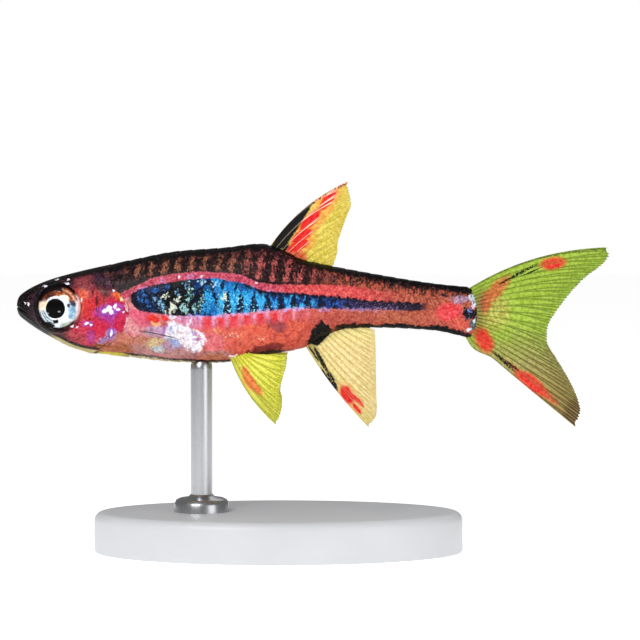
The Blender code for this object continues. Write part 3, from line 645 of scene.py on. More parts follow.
# painted glints: small white highlights laid on the head as ovals, each a place across and down, two radii
# and a turn
paintedGlints = [
    (105, 311, 3.2, 2, -10), (109.3, 308.3, 2.6, 2.6, 0), (111.5, 312, 2, 2.2, 0),
    (115.3, 306.6, 1.5, 2.4, 10), (118.3, 309.3, 2.4, 1.3, 0), (86.5, 323.6, 1.8, 1.2, 0),
    (91, 325, 1.2, 1, 0), (72.5, 326, 1.8, 0.9, -30), (77, 327.3, 1.2, 0.8, 0), (111.3, 333, 1.2, 3.2, 12),
    (68.6, 279.6, 1.1, 1.1, 0), (67.5, 283.6, 2.2, 0.9, 10), (114, 290.6, 1.3, 0.9, 0),
    (123, 298.6, 2.6, 2, -20), (119.8, 293.6, 1, 1.1, 0), (81.6, 300, 0.9, 2, 0), (127, 326.5, 1, 3.2, 12),
    (127.4, 304, 0.8, 1.8, -10), (128, 310.5, 0.9, 1.8, 0), (123.5, 312, 1, 0.9, 0),
    (28.6, 304, 0.8, 1.6, -20), (25.5, 303, 0.7, 0.7, 0), (57, 279.6, 2, 0.6, -8), (45, 286, 2.4, 0.6, 0),
]


headSpots = {
    "slits": [(97, 301, 1.3, 5, -4), (96.5, 309, 0.8, 2.6, 0), (89.5, 319.5, 0.9, 1, 0),
              (93, 292, 0.9, 3, 20)],
    # violet painted sheen round the painted glints
    "glintSheen": [(111, 309.5, 11.5, 5, -8), (111.5, 333, 3, 5, 12), (88, 324, 5, 2.6, 0)],
    "nape": [(113, 277, 20, 12, -6)], "dusky": [(86, 283, 13, 7, -14)], "chinYellow": [(107, 353, 9, 5, 5)],
}
chinDabs = [(0.95, 0.4, (170, 158, 12), (220, 206, 60), [(109, 353.2, 11, 1.9, 5)])]
headLines = {
    "crown": [(16, 300), (20, 294), (28, 290), (38, 285), (50, 279), (64, 274), (81, 271), (99, 267.5),
              (121, 263.5), (145, 257)],
    "jaw": [(16, 311), (23, 316), (30, 322), (41, 328.6), (59, 338.8), (80, 348), (99, 351.5), (120, 354),
            (145, 356)],
}


def paintHead(f):
    f.ragged, f.close = f.wobble(4.0, 4.0, 5.0), f.wobble(1.8, 2.0, 23.0)
    down, across, ragged, close = f.down, f.across, f.ragged, f.close
    f.fine, f.speck, f.mottle = f.noise(2.6, 4.0), f.noise(1.4, 3.0, 31.0), f.noise(6.0, 3.0, 17.0)
    fine, speck, mottle = f.fine, f.speck, f.mottle
    grain = f.step(fine, 0.4, 0.62)
    dark = f.inks(f.step(mottle + (fine - 0.5) * 0.6, 0.44, 0.64), (10, 6, 10), (66, 34, 46))
    dark = f.mix(f.step(speck, 0.54, 0.66) * 0.7, dark, tint(112, 76, 88))
    colour = dab(f, dark, ragged, grain, headDabs)
    colour = f.mix(f.spots(close, headSpots["slits"]) * 0.85, colour, tint(56, 12, 20))
    # painted sheen: violet round the painted glints on the gill cover and cheek
    glintSheen = f.spots(close, headSpots["glintSheen"], 0.6)
    colour = f.mix(glintSheen * f.step(fine, 0.4, 0.56) * 0.85, colour, tint(132, 84, 204))
    top = f.step(across * -0.2 + 292 - f.down + (mottle - 0.5) * 8, -3.0, 3.0)
    nape = f.spots(ragged, headSpots["nape"], 0.35)
    dusky = f.spots(ragged, headSpots["dusky"], 0.4)
    colour = f.mix(f.most(top * (1 - dusky * 0.8) * f.step(across, 86, 70), nape), colour, dark)
    colour = dab(f, colour, ragged, grain, napeDabs)
    crown = f.step(f.level(across, headLines["crown"]) - down, -8.0, -4.0)
    muzzle = f.step(across + (mottle - 0.5) * 6, 32, 27)
    black = f.inks(f.step(speck, 0.6, 0.7), (8, 6, 9), (72, 60, 62))
    colour = f.mix(f.most(crown, muzzle) * 0.95, colour, black)
    toJaw = f.level(across, headLines["jaw"]) - down
    chin = f.step(toJaw, 5.5, 3.5) * f.step(across, 56, 48)
    line = f.step(abs(toJaw - 2.4), 1.8, 0.8) * f.step(across, 44, 54)
    eyeAt, eyeRadius = skin["eye"]
    here = f.node("CombineXYZ", {}, {0: across, 1: down})
    socket = f.node("VectorMath", {"operation": "DISTANCE"}, {0: here, 1: (*eyeAt, 0)}, 1) - eyeRadius
    lid = f.step(abs(socket + (mottle - 0.5) * 2 - 0.6), 2.4, 1.2)
    lid = lid * f.most(f.step(across, 74, 66), f.step(down, 318, 324) * 0.7)
    colour = f.mix(f.most(f.most(chin, line * 0.9), lid * 0.95), colour, tint(12, 7, 8))
    yellow = f.step(toJaw, 1.4, 0.2) * f.step(across, 46, 60)
    chinInk = f.inks(f.spots(ragged, headSpots["chinYellow"]), (180, 168, 110), (204, 190, 44))
    colour = f.mix(yellow, colour, chinInk)
    colour = mottled(f, dab(f, colour, close, grain, chinDabs), 0.8)
    # painted highlights: the glints in white, cream where they lie on the gold spot
    paintedGlint = f.spots(close, paintedGlints, 0.25)
    warm = f.step(across, 116, 118) * f.step(down, 301, 300)
    return f.mix(paintedGlint, colour, f.inks(warm, (250, 242, 255), (255, 232, 180))), paintedGlint


def gillRim(f, colour):  # the pale broken line along the gill cover's free edge, the same on head and flank
    before = f.node("Attribute", {"attribute_name": "head"}, {}, 2)
    low = f.step(f.down, 298, 303) * f.step(f.down, 332, 326)
    line = f.step(abs(before - 0.58), 0.2, 0.1) * low
    line = line * f.step(f.speck + (f.noise(6.0, 1.0, 3.0) - 0.5), 0.44, 0.54)
    colour = f.mix(f.step(abs(before - 0.4), 0.2, 0.06) * low * 0.5, colour, tint(110, 30, 48))
    return f.mix(line * 0.75, colour, tint(250, 206, 206))


def headFinish():
    f = Finish("headSkin")
    f.readPicture()
    # the painted glints are also made a little metallic
    colour, paintedGlint = paintHead(f)
    normal = f.bump(f.fine + f.mottle * 0.6, 0.02 * mm, 0.6)
    f.shader(gillRim(f, colour), 0.4 + (f.mottle - 0.5) * 0.3, metallic=paintedGlint * 0.2, normal=normal,
             specular_ior_level=0.12, coat_weight=0.06, coat_roughness=0.1)
    return f


def scaleEdges(f, colour, flank):  # darkens each scale's free edge, and gives its height
    onBack, inStripe = flank["onBack"], flank["inStripe"]
    own = f.node("UVMap", {"uv_map": "Scale"})
    local = f.node("VectorMath", {"operation": "MULTIPLY_ADD"}, {0: own, 1: (2, 2, 0), 2: (-1, -1, 0)})
    rear = f.parts(local)[0]
    away = f.node("VectorMath", {"operation": "LENGTH"}, {0: local}, 1)
    tone = f.node("Attribute", {"attribute_name": "tone"}, {}, 2)
    rim = f.step(away + (f.noise(2.2, 2.0, 1.0) - 0.5) * 0.3, 0.74, 0.92) * f.step(rear, -0.2, 0.3)
    colour = f.mix(rim * onBack * (1 - flank["bars"]) * 0.7, colour, tint(16, 8, 12))
    colour = f.mix(rim * inStripe * f.step(f.across, 196, 214) * 0.25, colour, tint(8, 14, 44))
    plain = (1 - onBack) * (1 - inStripe)
    colour = f.mix(rim * plain * 0.3, colour, tint(206, 166, 172), "MULTIPLY")
    colour = f.mix(tone * 0.25, colour, tint(214, 200, 204), "MULTIPLY")
    rings = f.node("Math", {"operation": "SINE"}, {0: away * 42})
    return colour, f.fine * 0.6 + rings * 0.08 + rim * 0.12


def skinFinish(name, scaled):
    f = Finish(name)
    f.readPicture()
    flank = paintFlank(f)
    roughness = 0.46 - flank["silver"] * 0.16 + (f.mottle - 0.5) * 0.2
    metal = flank["silver"] * 0.1 + flank["inStripe"] * 0.15
    if scaled:
        colour, height = scaleEdges(f, flank["colour"], flank)
    else:
        colour, height = gillRim(f, flank["colour"]), f.fine
    f.shader(colour, roughness, metallic=metal, normal=f.bump(height, 0.02 * mm, 0.5),
             specular_ior_level=0.12, coat_weight=0.05, coat_roughness=0.12)
    return f


skin = {
    "sides": 230, "rings": 400, "ringRuns": [(0.0, 0.0), (0.3, 0.3), (0.6, 0.51), (0.97, 0.9925), (1.0, 1.0)],
    "coatDepth": 0.03 * mm,
    "gillEdge": [(109, 241), (109, 269), (112.4, 284.8), (120.5, 294.7), (127, 306), (128.5, 319),
                 (123.5, 330.5), (112, 342), (94.4, 352.1), (79.2, 363.6), (67.7, 379.8)],
    "coverEdge": [(92, 281), (97, 292), (98.5, 306), (96, 322), (86, 335), (68, 343)],
    "mouth": [(11.5, 303.2), (17, 307.1), (24, 311.6), (33.6, 318.7)],
    "jawLine": [(42, 331), (62, 343), (84, 349), (98, 352)],
    "eye": ((59.1, 307.1), 23.1), "nostrils": [((30.8, 298), 1.6), ((37.2, 295), 2.0)],
}
bareFinish, scaleFinish = skinFinish("bareSkin", False), skinFinish("scaledSkin", True)
faceFinish = headFinish()


def sampled(points, steps=36):
    path = smoothPath(points)
    return [path(i / steps) for i in range(steps + 1)]


def away(line, at):  # distance from a line in the picture, positive on its left as it runs
    best, sign = 1e9, 1.0
    for a, b in zip(line, line[1:]):
        run = b - a
        t = min(max((at - a).dot(run) / run.length_squared, 0.0), 1.0)
        gap = at - (a + run * t)
        if gap.length < best:
            best = gap.length
            sign = 1.0 if run.x * gap.y - run.y * gap.x > 0 else -1.0
    return best * sign


lines = {word: sampled(skin[word]) for word in ("gillEdge", "coverEdge", "mouth", "jawLine")}


def behindGill(at):  # how far a place lies in front of the gill cover's free edge, negative behind it
    line = lines["gillEdge"]
    level = min(max(at.y, line[0].y), line[-1].y)
    i = max(k for k in range(len(line) - 1) if line[k].y <= level or k == 0)
    a, b = line[i], line[i + 1]
    rough = a.x + (b.x - a.x) * (level - a.y) / (b.y - a.y) - at.x
    return away(line, at) if abs(rough) < 14 else rough


def skinRelief(at, behind):  # height of the skin's own forms at a place, which lies behind the gill's edge
    height = 0.0
    shown = ease((at.y - 284) / 9) * ease((at.x - 82) / 16)
    if behind > 0:
        height += 0.065 * mm * shown * ease(behind / 1.1) * (0.35 + 0.65 * ease(1 - behind / 34))
    else:
        height -= 0.03 * mm * shown * hump((behind + 1.0) / 2.2)
        height -= skin["coatDepth"] * ease(-behind / 2.5)
    if behind > -2:
        cover = away(lines["coverEdge"], at) if 60 < at.x < 108 else 20
        height -= 0.03 * mm * hump(cover / 1.3) - 0.016 * mm * hump((cover - 2.6) / 2.6)
        if 36 < at.x < 104 and at.y > 325:
            height -= 0.03 * mm * hump(away(lines["jawLine"], at) / 1.2)
        mouth = abs(away(lines["mouth"], at)) if at.x < 42 else 20
        tip = ease((at.x - 17) / 5)
        height += 0.03 * mm * hump((mouth - 2.2) / 2.0) * ease((36 - at.x) / 6) * tip
        height -= 0.06 * mm * hump(mouth / 1.1) * (0.5 + 0.5 * tip)
        (eyeAt, eyeRadius) = skin["eye"]
        reach = (at - Vector(eyeAt)).length - eyeRadius
        height += 0.035 * mm * hump((reach - 1.6) / 3.2) - 0.5 * mm * ease(-reach / 3.0)
        for centre, radius in skin["nostrils"]:
            gap = (at - Vector(centre)).length / radius
            height += 0.022 * mm * hump((gap - 1.3) / 0.7) - 0.1 * mm * hump(gap / 1.15)
    return height


def ringShare(t):
    runs = skin["ringRuns"]
    i = max(k for k in range(len(runs) - 1) if runs[k][0] <= t)
    (a, low), (b, high) = runs[i], runs[i + 1]
    return (low + (high - low) * (t - a) / (b - a)) ** 2


def ringPlace(share):  # the reverse of ringShare
    root = math.sqrt(share)
    runs = skin["ringRuns"]
    i = max(k for k in range(len(runs) - 1) if runs[k][1] <= root or k == 0)
    (a, low), (b, high) = runs[i], runs[i + 1]
    return a + (b - a) * (root - low) / (high - low)


def makeSkin():
    bm = bmesh.new()
    bmesh.ops.create_uvsphere(bm, u_segments=skin["sides"], v_segments=skin["rings"], radius=1)
    head = bm.verts.layers.float.new("head")
    spread = {}
    for vert in bm.verts:
        t = math.acos(max(-1.0, min(1.0, vert.co.z))) / math.pi
        turn = math.atan2(vert.co.y, vert.co.x)
        spread[vert] = (t, turn / math.tau + 0.5)
        vert.co = onBody(ringShare(t), turn)
    bmesh.ops.recalc_face_normals(bm, faces=bm.faces)
    bm.normal_update()
    if bm.calc_volume(signed=True) < 0:
        bmesh.ops.reverse_faces(bm, faces=bm.faces)
        bm.normal_update()
    moves = []
    for vert in bm.verts:
        at = seenPlace(vert.co)
        behind = behindGill(at)
        vert[head] = min(max(0.5 + behind / 8, 0.0), 1.0)
        flat = ease((abs(vert.normal.y) - 0.02) / 0.25)
        height = skinRelief(at, behind)
        if behind < -3:
            moves.append(vert.normal * height)
        else:
            atMouth = hump(abs(away(lines["mouth"], at)) / 5) if at.x < 40 else 0.0
            moves.append(vert.normal * height * max(flat, atMouth))
    for vert, move in zip(bm.verts, moves):
        vert.co += move
    unwrapSkin(bm, spread, head)
    piece = makePiece("skin", bm, bareFinish)
    piece.data.materials.append(faceFinish.material)
    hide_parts("head", "trunk", "tail_stalk")
    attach(piece, "root")


def unwrapSkin(bm, spread, head):
    uv = bm.loops.layers.uv.new("OFBake")
    for face in bm.faces:
        face.material_index = int(sum(v[head] for v in face.verts) > 0.5 * len(face.verts))
        places = [spread[v] for v in face.verts if 0.001 < spread[v][0] < 0.999]
        first = places[0][1]
        middle = sum(p[1] for p in places) / len(places)
        for loop in face.loops:
            across, around = spread[loop.vert]
            if not 0.001 < across < 0.999:
                around = middle
            if around - first > 0.5:
                around -= 1
            if first - around > 0.5:
                around += 1
            loop[uv].uv = (across, around)


makeSkin()
print("stage: skin made")

scales = {
    "columnPitch": 0.44 * mm, "rowPitch": 0.45 * mm, "firstShare": 0.222, "lastShare": 0.985,
    "middleLine": [(0.0, 0.0), (0.25, 0.004), (0.4, 0.012), (0.6, 0.006), (0.83, -0.004), (1.0, -0.016)],
    "reach": 0.8, "breadth": 0.86, "base": 0.006 * mm, "slope": 0.058, "cup": 0.012 * mm,
    "thickness": 0.009 * mm,
    "sides": 14,
}
middleLine = smoothLine(scales["middleLine"])


def aroundStep(share, turn):  # metres along the skin for one radian of turn
    halfHeight, width = section(share)[1:]
    return fish["length"] * math.hypot(halfHeight * math.sin(turn), width * math.cos(turn))


def halfGirth(share):
    return sum(aroundStep(share, (i + 0.5) * math.pi / 24) for i in range(24)) * math.pi / 24


def turnAt(share, run):  # the turn at a run along the skin from the middle line, up the back where positive
    middle, halfHeight = section(share)[:2]
    turn = math.acos(min(max((middleLine(share) - middle) / halfHeight, -0.95), 0.95))
    step = -0.01 if run > 0 else 0.01
    left = abs(run)
    while left > 0 and 0 < turn < math.pi:
        left -= aroundStep(share, turn) * 0.01
        turn += step
    return turn


def makeScaleShape():
    bm = bmesh.new()
    bmesh.ops.create_circle(bm, cap_ends=True, segments=scales["sides"], radius=1)
    lifted = bmesh.ops.extrude_face_region(bm, geom=bm.faces[:], use_keep_orig=True)["geom"]
    bmesh.ops.translate(bm, vec=(0, 0, 1), verts=[g for g in lifted if isinstance(g, bmesh.types.BMVert)])
    top = [g for g in lifted if isinstance(g, bmesh.types.BMFace)]
    bmesh.ops.inset_region(bm, faces=top, thickness=0.12)
    bmesh.ops.inset_region(bm, faces=top, thickness=0.38)
    bmesh.ops.poke(bm, faces=top)
    bmesh.ops.recalc_face_normals(bm, faces=bm.faces)
    uv = bm.loops.layers.uv.new("Scale")
    bm.loops.layers.uv.new("OFBake")
    bm.verts.layers.float.new("tone")
    for face in bm.faces:
        for loop in face.loops:
            loop[uv].uv = (loop.vert.co.x / 2 + 0.5, loop.vert.co.y / 2 + 0.5)
    mesh = bpy.data.meshes.new("scaleShape")
    bm.to_mesh(mesh)
    bm.free()
    return mesh


def makeScales():
    draw = random.Random(7)
    shape = makeScaleShape()
    count, faceCount = len(shape.vertices), len(shape.polygons)
    bm = bmesh.new()
    full = halfGirth(0.4)
    pitch = scales["columnPitch"] / fish["length"]
    columns = int((scales["lastShare"] - scales["firstShare"]) / pitch * 2)
    made = 0
    for column in range(columns):
        share = scales["firstShare"] + column * pitch / 2
        girth = halfGirth(share)
        rowPitch = scales["rowPitch"] * (0.5 + 0.5 * girth / full)
        for row in range(-14, 15):
            if (row + column) % 2:
                continue
            turn = turnAt(share, row * rowPitch)
            edge = min(turn, math.pi - turn) * aroundStep(share, turn)
            if edge < rowPitch * 0.3:
                continue
            if behindGill(seenPlace(onBody(share, turn))) > -3:
                continue
            for side in (-1, 1):
                addScale(bm, shape, count, faceCount, share, side * turn, rowPitch, side, draw)
                made += 1
        for turn in (0.0, math.pi):  # the rows along the back and the belly
            if column % 2 == 0 and share > 0.2:
                addScale(bm, shape, count, faceCount, share, turn, rowPitch, 1, draw, 0.008 * mm)
                made += 1
    bpy.data.meshes.remove(shape)
    piece = makePiece("scales", bm, scaleFinish)
    piece.data.set_sharp_from_angle(angle=math.radians(50))
    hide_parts("trunk", "tail_stalk")
    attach(piece, "root")
    print("stage:", made, "scales made")


def addScale(bm, shape, count, faceCount, share, turn, rowPitch, side, draw, raised=0.0):
    bm.from_mesh(shape)
    bm.verts.ensure_lookup_table()
    bm.faces.ensure_lookup_table()
    reach = scales["columnPitch"] * scales["reach"] * draw.uniform(0.97, 1.04)
    breadth = rowPitch * scales["breadth"] * draw.uniform(0.97, 1.04)
    tone, tilt = draw.random(), draw.uniform(-0.05, 0.05)
    toneLayer = bm.verts.layers.float["tone"]
    step = aroundStep(share, turn)
    for vert in bm.verts[-count:]:
        ahead, aside, lift = vert.co
        run = ahead * reach + aside * breadth * tilt
        there = min(max(share + run / fish["length"], 0.0), 0.999)
        turned = turn + aside * breadth / step
        up = scales["base"] + raised + scales["slope"] * run - scales["cup"] * aside * aside
        up += scales["thickness"] * lift - 0.006 * mm * max(0.0, ahead) ** 4
        vert.co = onBody(there, turned) + outward(there, turned) * (up - skin["coatDepth"] * 0.6)
        vert[toneLayer] = tone
    own, bake = bm.loops.layers.uv["Scale"], bm.loops.layers.uv["OFBake"]
    # each scale has a patch of its own on the map, none over another
    halfLong = scales["columnPitch"] / fish["length"] * 0.21
    halfRound = rowPitch / step / math.tau * (0.13 if raised else 0.42)
    middle = min(max(turn / math.tau + 0.5, halfRound), 1 - halfRound)
    for face in bm.faces[-faceCount:]:
        for loop in face.loops:
            local = loop[own].uv * 2 - Vector((1, 1))
            loop[bake].uv = (ringPlace(share) + local.x * halfLong, middle + local.y * halfRound)


makeScales()

eye = {
    "centre": (0.0962, -0.001), "radius": 0.795 * mm, "seatY": 0.66 * mm, "tilt": math.radians(10),
    "pupilAhead": 0.09, "pupil": (55.9, 308.0), "middle": (57, 309), "seen": (58.0, 306.6),
    # radius and height of each turn of the eye's outline, as shares of its radius
    "outline": [(0.0, 0.33), (0.15, 0.328), (0.3, 0.315), (0.4, 0.285), (0.43, 0.262), (0.47, 0.262),
                (0.6, 0.25), (0.75, 0.2), (0.88, 0.12), (0.96, 0.03), (1.0, -0.06), (0.96, -0.16),
                (0.8, -0.24), (0.4, -0.3), (0.0, -0.32)],
    "steps": 96,
}


# the iris's marks: how strong, how soft, two inks, and ovals as on the head
eyeDabs = [
    (0.9, 0.4, (228, 196, 160), (250, 234, 212), [(42, 302, 5, 8, 0)]),
    (0.85, 0.4, (112, 138, 152), (196, 212, 218), [(46, 318, 9, 6, 35)]),
    (0.95, 0.35, (92, 146, 186), (176, 210, 226), [(73, 310, 3.2, 5, 0), (71.5, 315.5, 2.8, 2.6, 0)]),
    (0.95, 0.3, (12, 20, 44), (46, 62, 92), [(73, 301.5, 2.8, 4.6, -25), (69.5, 305, 1.3, 2, 0)]),
    (0.8, 0.4, (140, 152, 134), (196, 206, 188), [(67, 324, 7, 2.2, -15)]),
]
eyeSpots = {
    "arcs": [(46, 318, 9, 6.5, 35)], "flash": [(65, 297.5, 4.5, 2.8, 10)],
    "under": [(56, 320.5, 2.6, 2.6, 0), (49, 324.5, 6, 2.6, 20)],
    # painted catchlights: white reflections at the pupil's lower edge, and grey painted glints on the pupil
    "lights": [(54.5, 318.6, 2.8, 0.7, 0), (56.5, 324, 1.2, 1, 0)],
    "glints": [(48.3, 312.8, 0.8, 0.8, 0), (60, 311, 1.2, 0.8, 0)],
}


def irisInks(f, at, ragged, local):  # the iris as the photo shows it, from its pupil out to its rim
    across, down = f.parts(at)[:2]
    fine, patchy = f.noise(1.9, 3.0, 0.0, at), f.noise(5.5, 3.0, 3.0, at)
    grain = f.step(fine, 0.4, 0.6)
    fromPupil = f.node("VectorMath", {"operation": "DISTANCE"}, {0: at, 1: (*eye["pupil"], 1)}, 1)
    iris = dab(f, f.inks(grain, (206, 214, 222), (250, 250, 248)), ragged, grain, eyeDabs)
    arcs = f.node("Math", {"operation": "SINE"}, {0: fromPupil * 2.2 + patchy * 13})
    low = f.spots(ragged, eyeSpots["arcs"], 0.4)
    iris = f.mix(low * f.step(arcs, 0.0, 0.7) * 0.6, iris, tint(40, 56, 70))
    iris = f.mix(low * f.step(arcs, -0.5, -0.9) * 0.8, iris, tint(232, 240, 244))
    fromMiddle = f.node("VectorMath", {"operation": "DISTANCE"}, {0: ragged, 1: (*eye["middle"], 1)}, 1)
    upper = f.step(down + (patchy - 0.5) * 6, 303, 298)
    brown = f.mix(f.step(across, 52, 60), f.inks(grain, (36, 14, 14), (110, 52, 30)),
                  f.inks(grain, (112, 46, 18), (190, 110, 56)))
    iris = f.mix(f.step(fromMiddle, 12.8, 14.2) * upper, iris, brown)
    iris = f.mix(f.step(fromMiddle, 17.8, 19) * upper * f.step(across, 70, 60), iris, tint(24, 10, 12))
    arc = f.step(abs(fromMiddle - 20.5), 1.3, 0.5) * f.step(across, 60, 66) * f.step(down, 306, 300)
    arcInk = f.inks(grain, (206, 120, 90), (250, 226, 206))
    iris = f.mix(arc * f.step(patchy, 0.4, 0.5) * 0.6, iris, arcInk)
    iris = f.mix(f.spots(ragged, eyeSpots["flash"]), iris, tint(250, 240, 220))
    rim = f.node("VectorMath", {"operation": "LENGTH"}, {0: local}, 1) + (fine - 0.5) * 0.1
    pale = f.step(across - abs(down - 309) * 0.3, 68, 74)
    iris = f.mix(f.step(rim, 0.87, 0.93) * pale, iris, f.inks(grain, (240, 216, 220), (255, 246, 246)))
    iris = f.mix(f.step(rim, 0.95, 1.0) * pale, iris, tint(196, 84, 70))
    dark = f.most(f.step(rim, 0.84, 0.92) * (1 - pale), f.spots(ragged, eyeSpots["under"]))
    iris = f.mix(dark, iris, tint(7, 6, 9))
    return f.mix(f.step(fromPupil + (fine - 0.5) * 0.5, 10.2, 9.6), iris, tint(3, 3, 4))


def eyeFinish():
    f = Finish("eye")
    own = f.node("UVMap", {"uv_map": "Eye"})
    local = f.node("VectorMath", {"operation": "MULTIPLY_ADD"}, {0: own, 1: (2, 2, 0), 2: (-1, -1, 0)})
    unit = picture["unit"] / fish["length"] * eye["radius"]
    seen = {0: local, 1: (unit, -unit, 0), 2: (*eye["seen"], 1)}
    at = f.node("VectorMath", {"operation": "MULTIPLY_ADD"}, seen)
    moved = f.node("TexNoise", {}, {"Vector": at, "Scale": 0.33, "Detail": 2.0}, 1)
    shift = {0: moved, 1: (2.6, 2.6, 0), 2: (-1.3, -1.3, 0)}
    moved = f.node("VectorMath", {"operation": "MULTIPLY_ADD"}, shift)
    ragged = f.node("VectorMath", {"operation": "ADD"}, {0: at, 1: moved})
    colour = irisInks(f, at, ragged, local)
    # painted catchlights and glints on the eye
    colour = f.mix(f.spots(at, eyeSpots["lights"], 0.4), colour, tint(255, 255, 255))
    colour = f.mix(f.spots(at, eyeSpots["glints"], 0.6) * 0.7, colour, tint(150, 156, 160))
    height = f.noise(0.06, 3.0, 1.0, local)
    f.shader(colour, 0.4, normal=f.bump(height, 0.006 * mm, 0.4), specular_ior_level=0.05, coat_weight=0.04,
             coat_roughness=0.03)
    return f


def makeEyes():
    finish = eyeFinish()
    for side, word in ((-1, "left"), (1, "right")):
        bm = bmesh.new()
        radius = eye["radius"]
        rail = [bm.verts.new((r * radius, 0, h * radius)) for r, h in eye["outline"]]
        edges = [bm.edges.new(pair) for pair in zip(rail, rail[1:])]
        bmesh.ops.spin(bm, geom=rail + edges, cent=(0, 0, 0), axis=(0, 0, 1), angle=math.tau,
                       steps=eye["steps"], use_merge=True)
        bmesh.ops.remove_doubles(bm, verts=bm.verts, dist=1e-7)
        bmesh.ops.recalc_face_normals(bm, faces=bm.faces)
        uv = bm.loops.layers.uv.new("Eye")
        for face in bm.faces:
            for loop in face.loops:
                loop[uv].uv = (loop.vert.co.x / radius / 2 + 0.5, loop.vert.co.y / radius / 2 + 0.5)
        for vert in bm.verts:
            out = math.hypot(vert.co.x, vert.co.y) / radius
            ahead = eye["pupilAhead"] * (1 - ease((out - 0.45) / 0.5))
            vert.co.x -= ahead * radius
            for loop in vert.link_loops:
                loop[uv].uv.x -= ahead / 2
        turned = Matrix.Rotation(side * eye["tilt"], 3, "Z")
        for vert in bm.verts:
            bulb = Vector((vert.co.x, side * vert.co.z, vert.co.y))
            vert.co = place(*eye["centre"], side * eye["seatY"]) + turned @ bulb
        bmesh.ops.recalc_face_normals(bm, faces=bm.faces)
        if bm.calc_volume(signed=True) < 0:
            bmesh.ops.reverse_faces(bm, faces=bm.faces)
        piece = makePiece("eyeball_" + word, bm, finish)
        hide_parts("eye_" + word)
        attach(piece, "root")


makeEyes()
print("stage: eyes made")

# Each fin's root and margin run from its leading edge to its last ray, in shares of the standard length
fins = {
    "dorsal_fin": {
        "root": [(0.545, 0.117), (0.637, 0.068)],
        "margin": [(0.717, 0.269), (0.7223, 0.241), (0.7256, 0.219), (0.7169, 0.197), (0.705, 0.165),
                   (0.6963, 0.137), (0.695, 0.117), (0.6866, 0.089)],
        "rays": 10, "bow": 0.078, "slot": "dorsal_membrane", "nodes": ["dorsal_fin"],
    },
    "anal_fin": {
        "root": [(0.616, -0.066), (0.694, -0.03)],
        "margin": [(0.7625, -0.2636), (0.7787, -0.243), (0.782, -0.2213), (0.7809, -0.193), (0.7798, -0.15),
                   (0.7787, -0.0954), (0.7765, -0.0515)],
        "rays": 12, "bow": -0.035, "slot": "anal_membrane", "nodes": ["anal_fin"],
    },
    "caudal_fin": {
        "root": [(0.967, 0.024), (0.98, -0.012), (0.98, -0.03), (0.973, -0.062)],
        "margin": [(1.2777, 0.127), (1.2842, 0.117), (1.283, 0.104), (1.2646, 0.0846), (1.243, 0.0694),
                   (1.2213, 0.05), (1.1887, 0.013), (1.1562, -0.0347), (1.1508, -0.0629), (1.153, -0.0846),
                   (1.1692, -0.1106), (1.1866, -0.1388), (1.2017, -0.165), (1.2148, -0.193),
                   (1.2234, -0.2213), (1.2223, -0.2364), (1.2115, -0.2625)],
        "rays": 19, "bow": 0.075, "bowLast": -0.005, "heel": -0.035, "slot": "caudal_membrane",
        "nodes": ["caudal_fin_upper", "caudal_fin_lower"],
    },
    "pelvic_fin": {
        "root": [(0.4685, -0.112), (0.508, -0.103)],
        "margin": [(0.5618, -0.253), (0.5683, -0.243), (0.5738, -0.2256), (0.5748, -0.204), (0.5705, -0.1865),
                   (0.5738, -0.165), (0.583, -0.1323), (0.5862, -0.1035)],
        "rays": 8, "bow": -0.07, "rootY": 0.3 * mm, "flare": 0.6 * mm, "fan": 0.1 * mm, "sunk": 0.08,
        "slot": "pelvic_membrane",
    },
    "pectoral_fin": {
        "root": [(0.238, -0.05), (0.232, -0.08)],
        "margin": [(0.385, -0.074), (0.378, -0.094), (0.345, -0.11), (0.305, -0.118)],
        "rays": 12, "bow": 0.03, "rootY": 0.62 * mm, "flare": 1.15 * mm, "fan": -0.1 * mm,
        "slot": "pectoral_membrane",
    },
}
fin = {
    "columnsPerRay": 14, "rows": 72, "membrane": 0.022 * mm, "ray": 0.05 * mm, "dip": 0.014,
    "firstSplit": 0.34, "secondSplit": 0.66, "spread": 0.27, "wave": 0.05 * mm, "sunk": 0.05,
}


def raySplits(v):  # how far a ray's branches stand from its middle, in ray pitches
    first = fin["spread"] * ease((v - fin["firstSplit"]) / (1 - fin["firstSplit"]))
    second = fin["spread"] * 0.45 * ease((v - fin["secondSplit"]) / (1 - fin["secondSplit"]))
    return first, second


def rayAt(u, v, rays):  # 1 on a ray, 0 between rays
    pitch = u * (rays - 1)
    gap = abs(pitch - round(pitch))
    first, second = raySplits(v)
    lone = 0 < round(pitch) < rays - 1
    gap = abs(abs(gap - first) - second) if lone else gap
    width = 0.2 - 0.1 * v if lone else 0.3
    return hump(gap / width)


def finFinish(name, paint):
    f = Finish(name)
    f.readPicture()
    u, v = f.parts(f.node("UVMap", {"uv_map": "Fin"}))[:2]
    return f, paint(f, u, v)


def rayLines(f, u, v, rays, width):  # the same split rays as in the mesh, drawn finer
    pitch = u * (rays - 1)
    gap = f.node("Math", {"operation": "PINGPONG"}, {0: pitch, 1: 0.5})
    first = f.step(v, fin["firstSplit"], 1.0) * fin["spread"]
    second = f.step(v, fin["secondSplit"], 1.0) * (fin["spread"] * 0.45)
    gap = abs(abs(gap - first) - second)
    return f.step(gap, width, width * 0.3), gap


dorsalSpots = {
    "blush": [(314, 221, 44, 9, -53), (300, 246, 17, 9, -30)], "root": [(297, 254, 11, 4.5, 24)],
    "red": [(328, 200, 13, 4.6, -52), (310, 220.5, 14, 5.2, -45), (302, 236, 12, 5.6, -36),
            (298, 246, 12, 4.8, -24)],
    "front": [(268, 252), (281, 229), (303, 206), (315, 198), (309, 211), (285, 248)],
    "streaks": [(284, 250, 7, 2.2, -50), (292, 233, 11, 1.6, -46)],
}


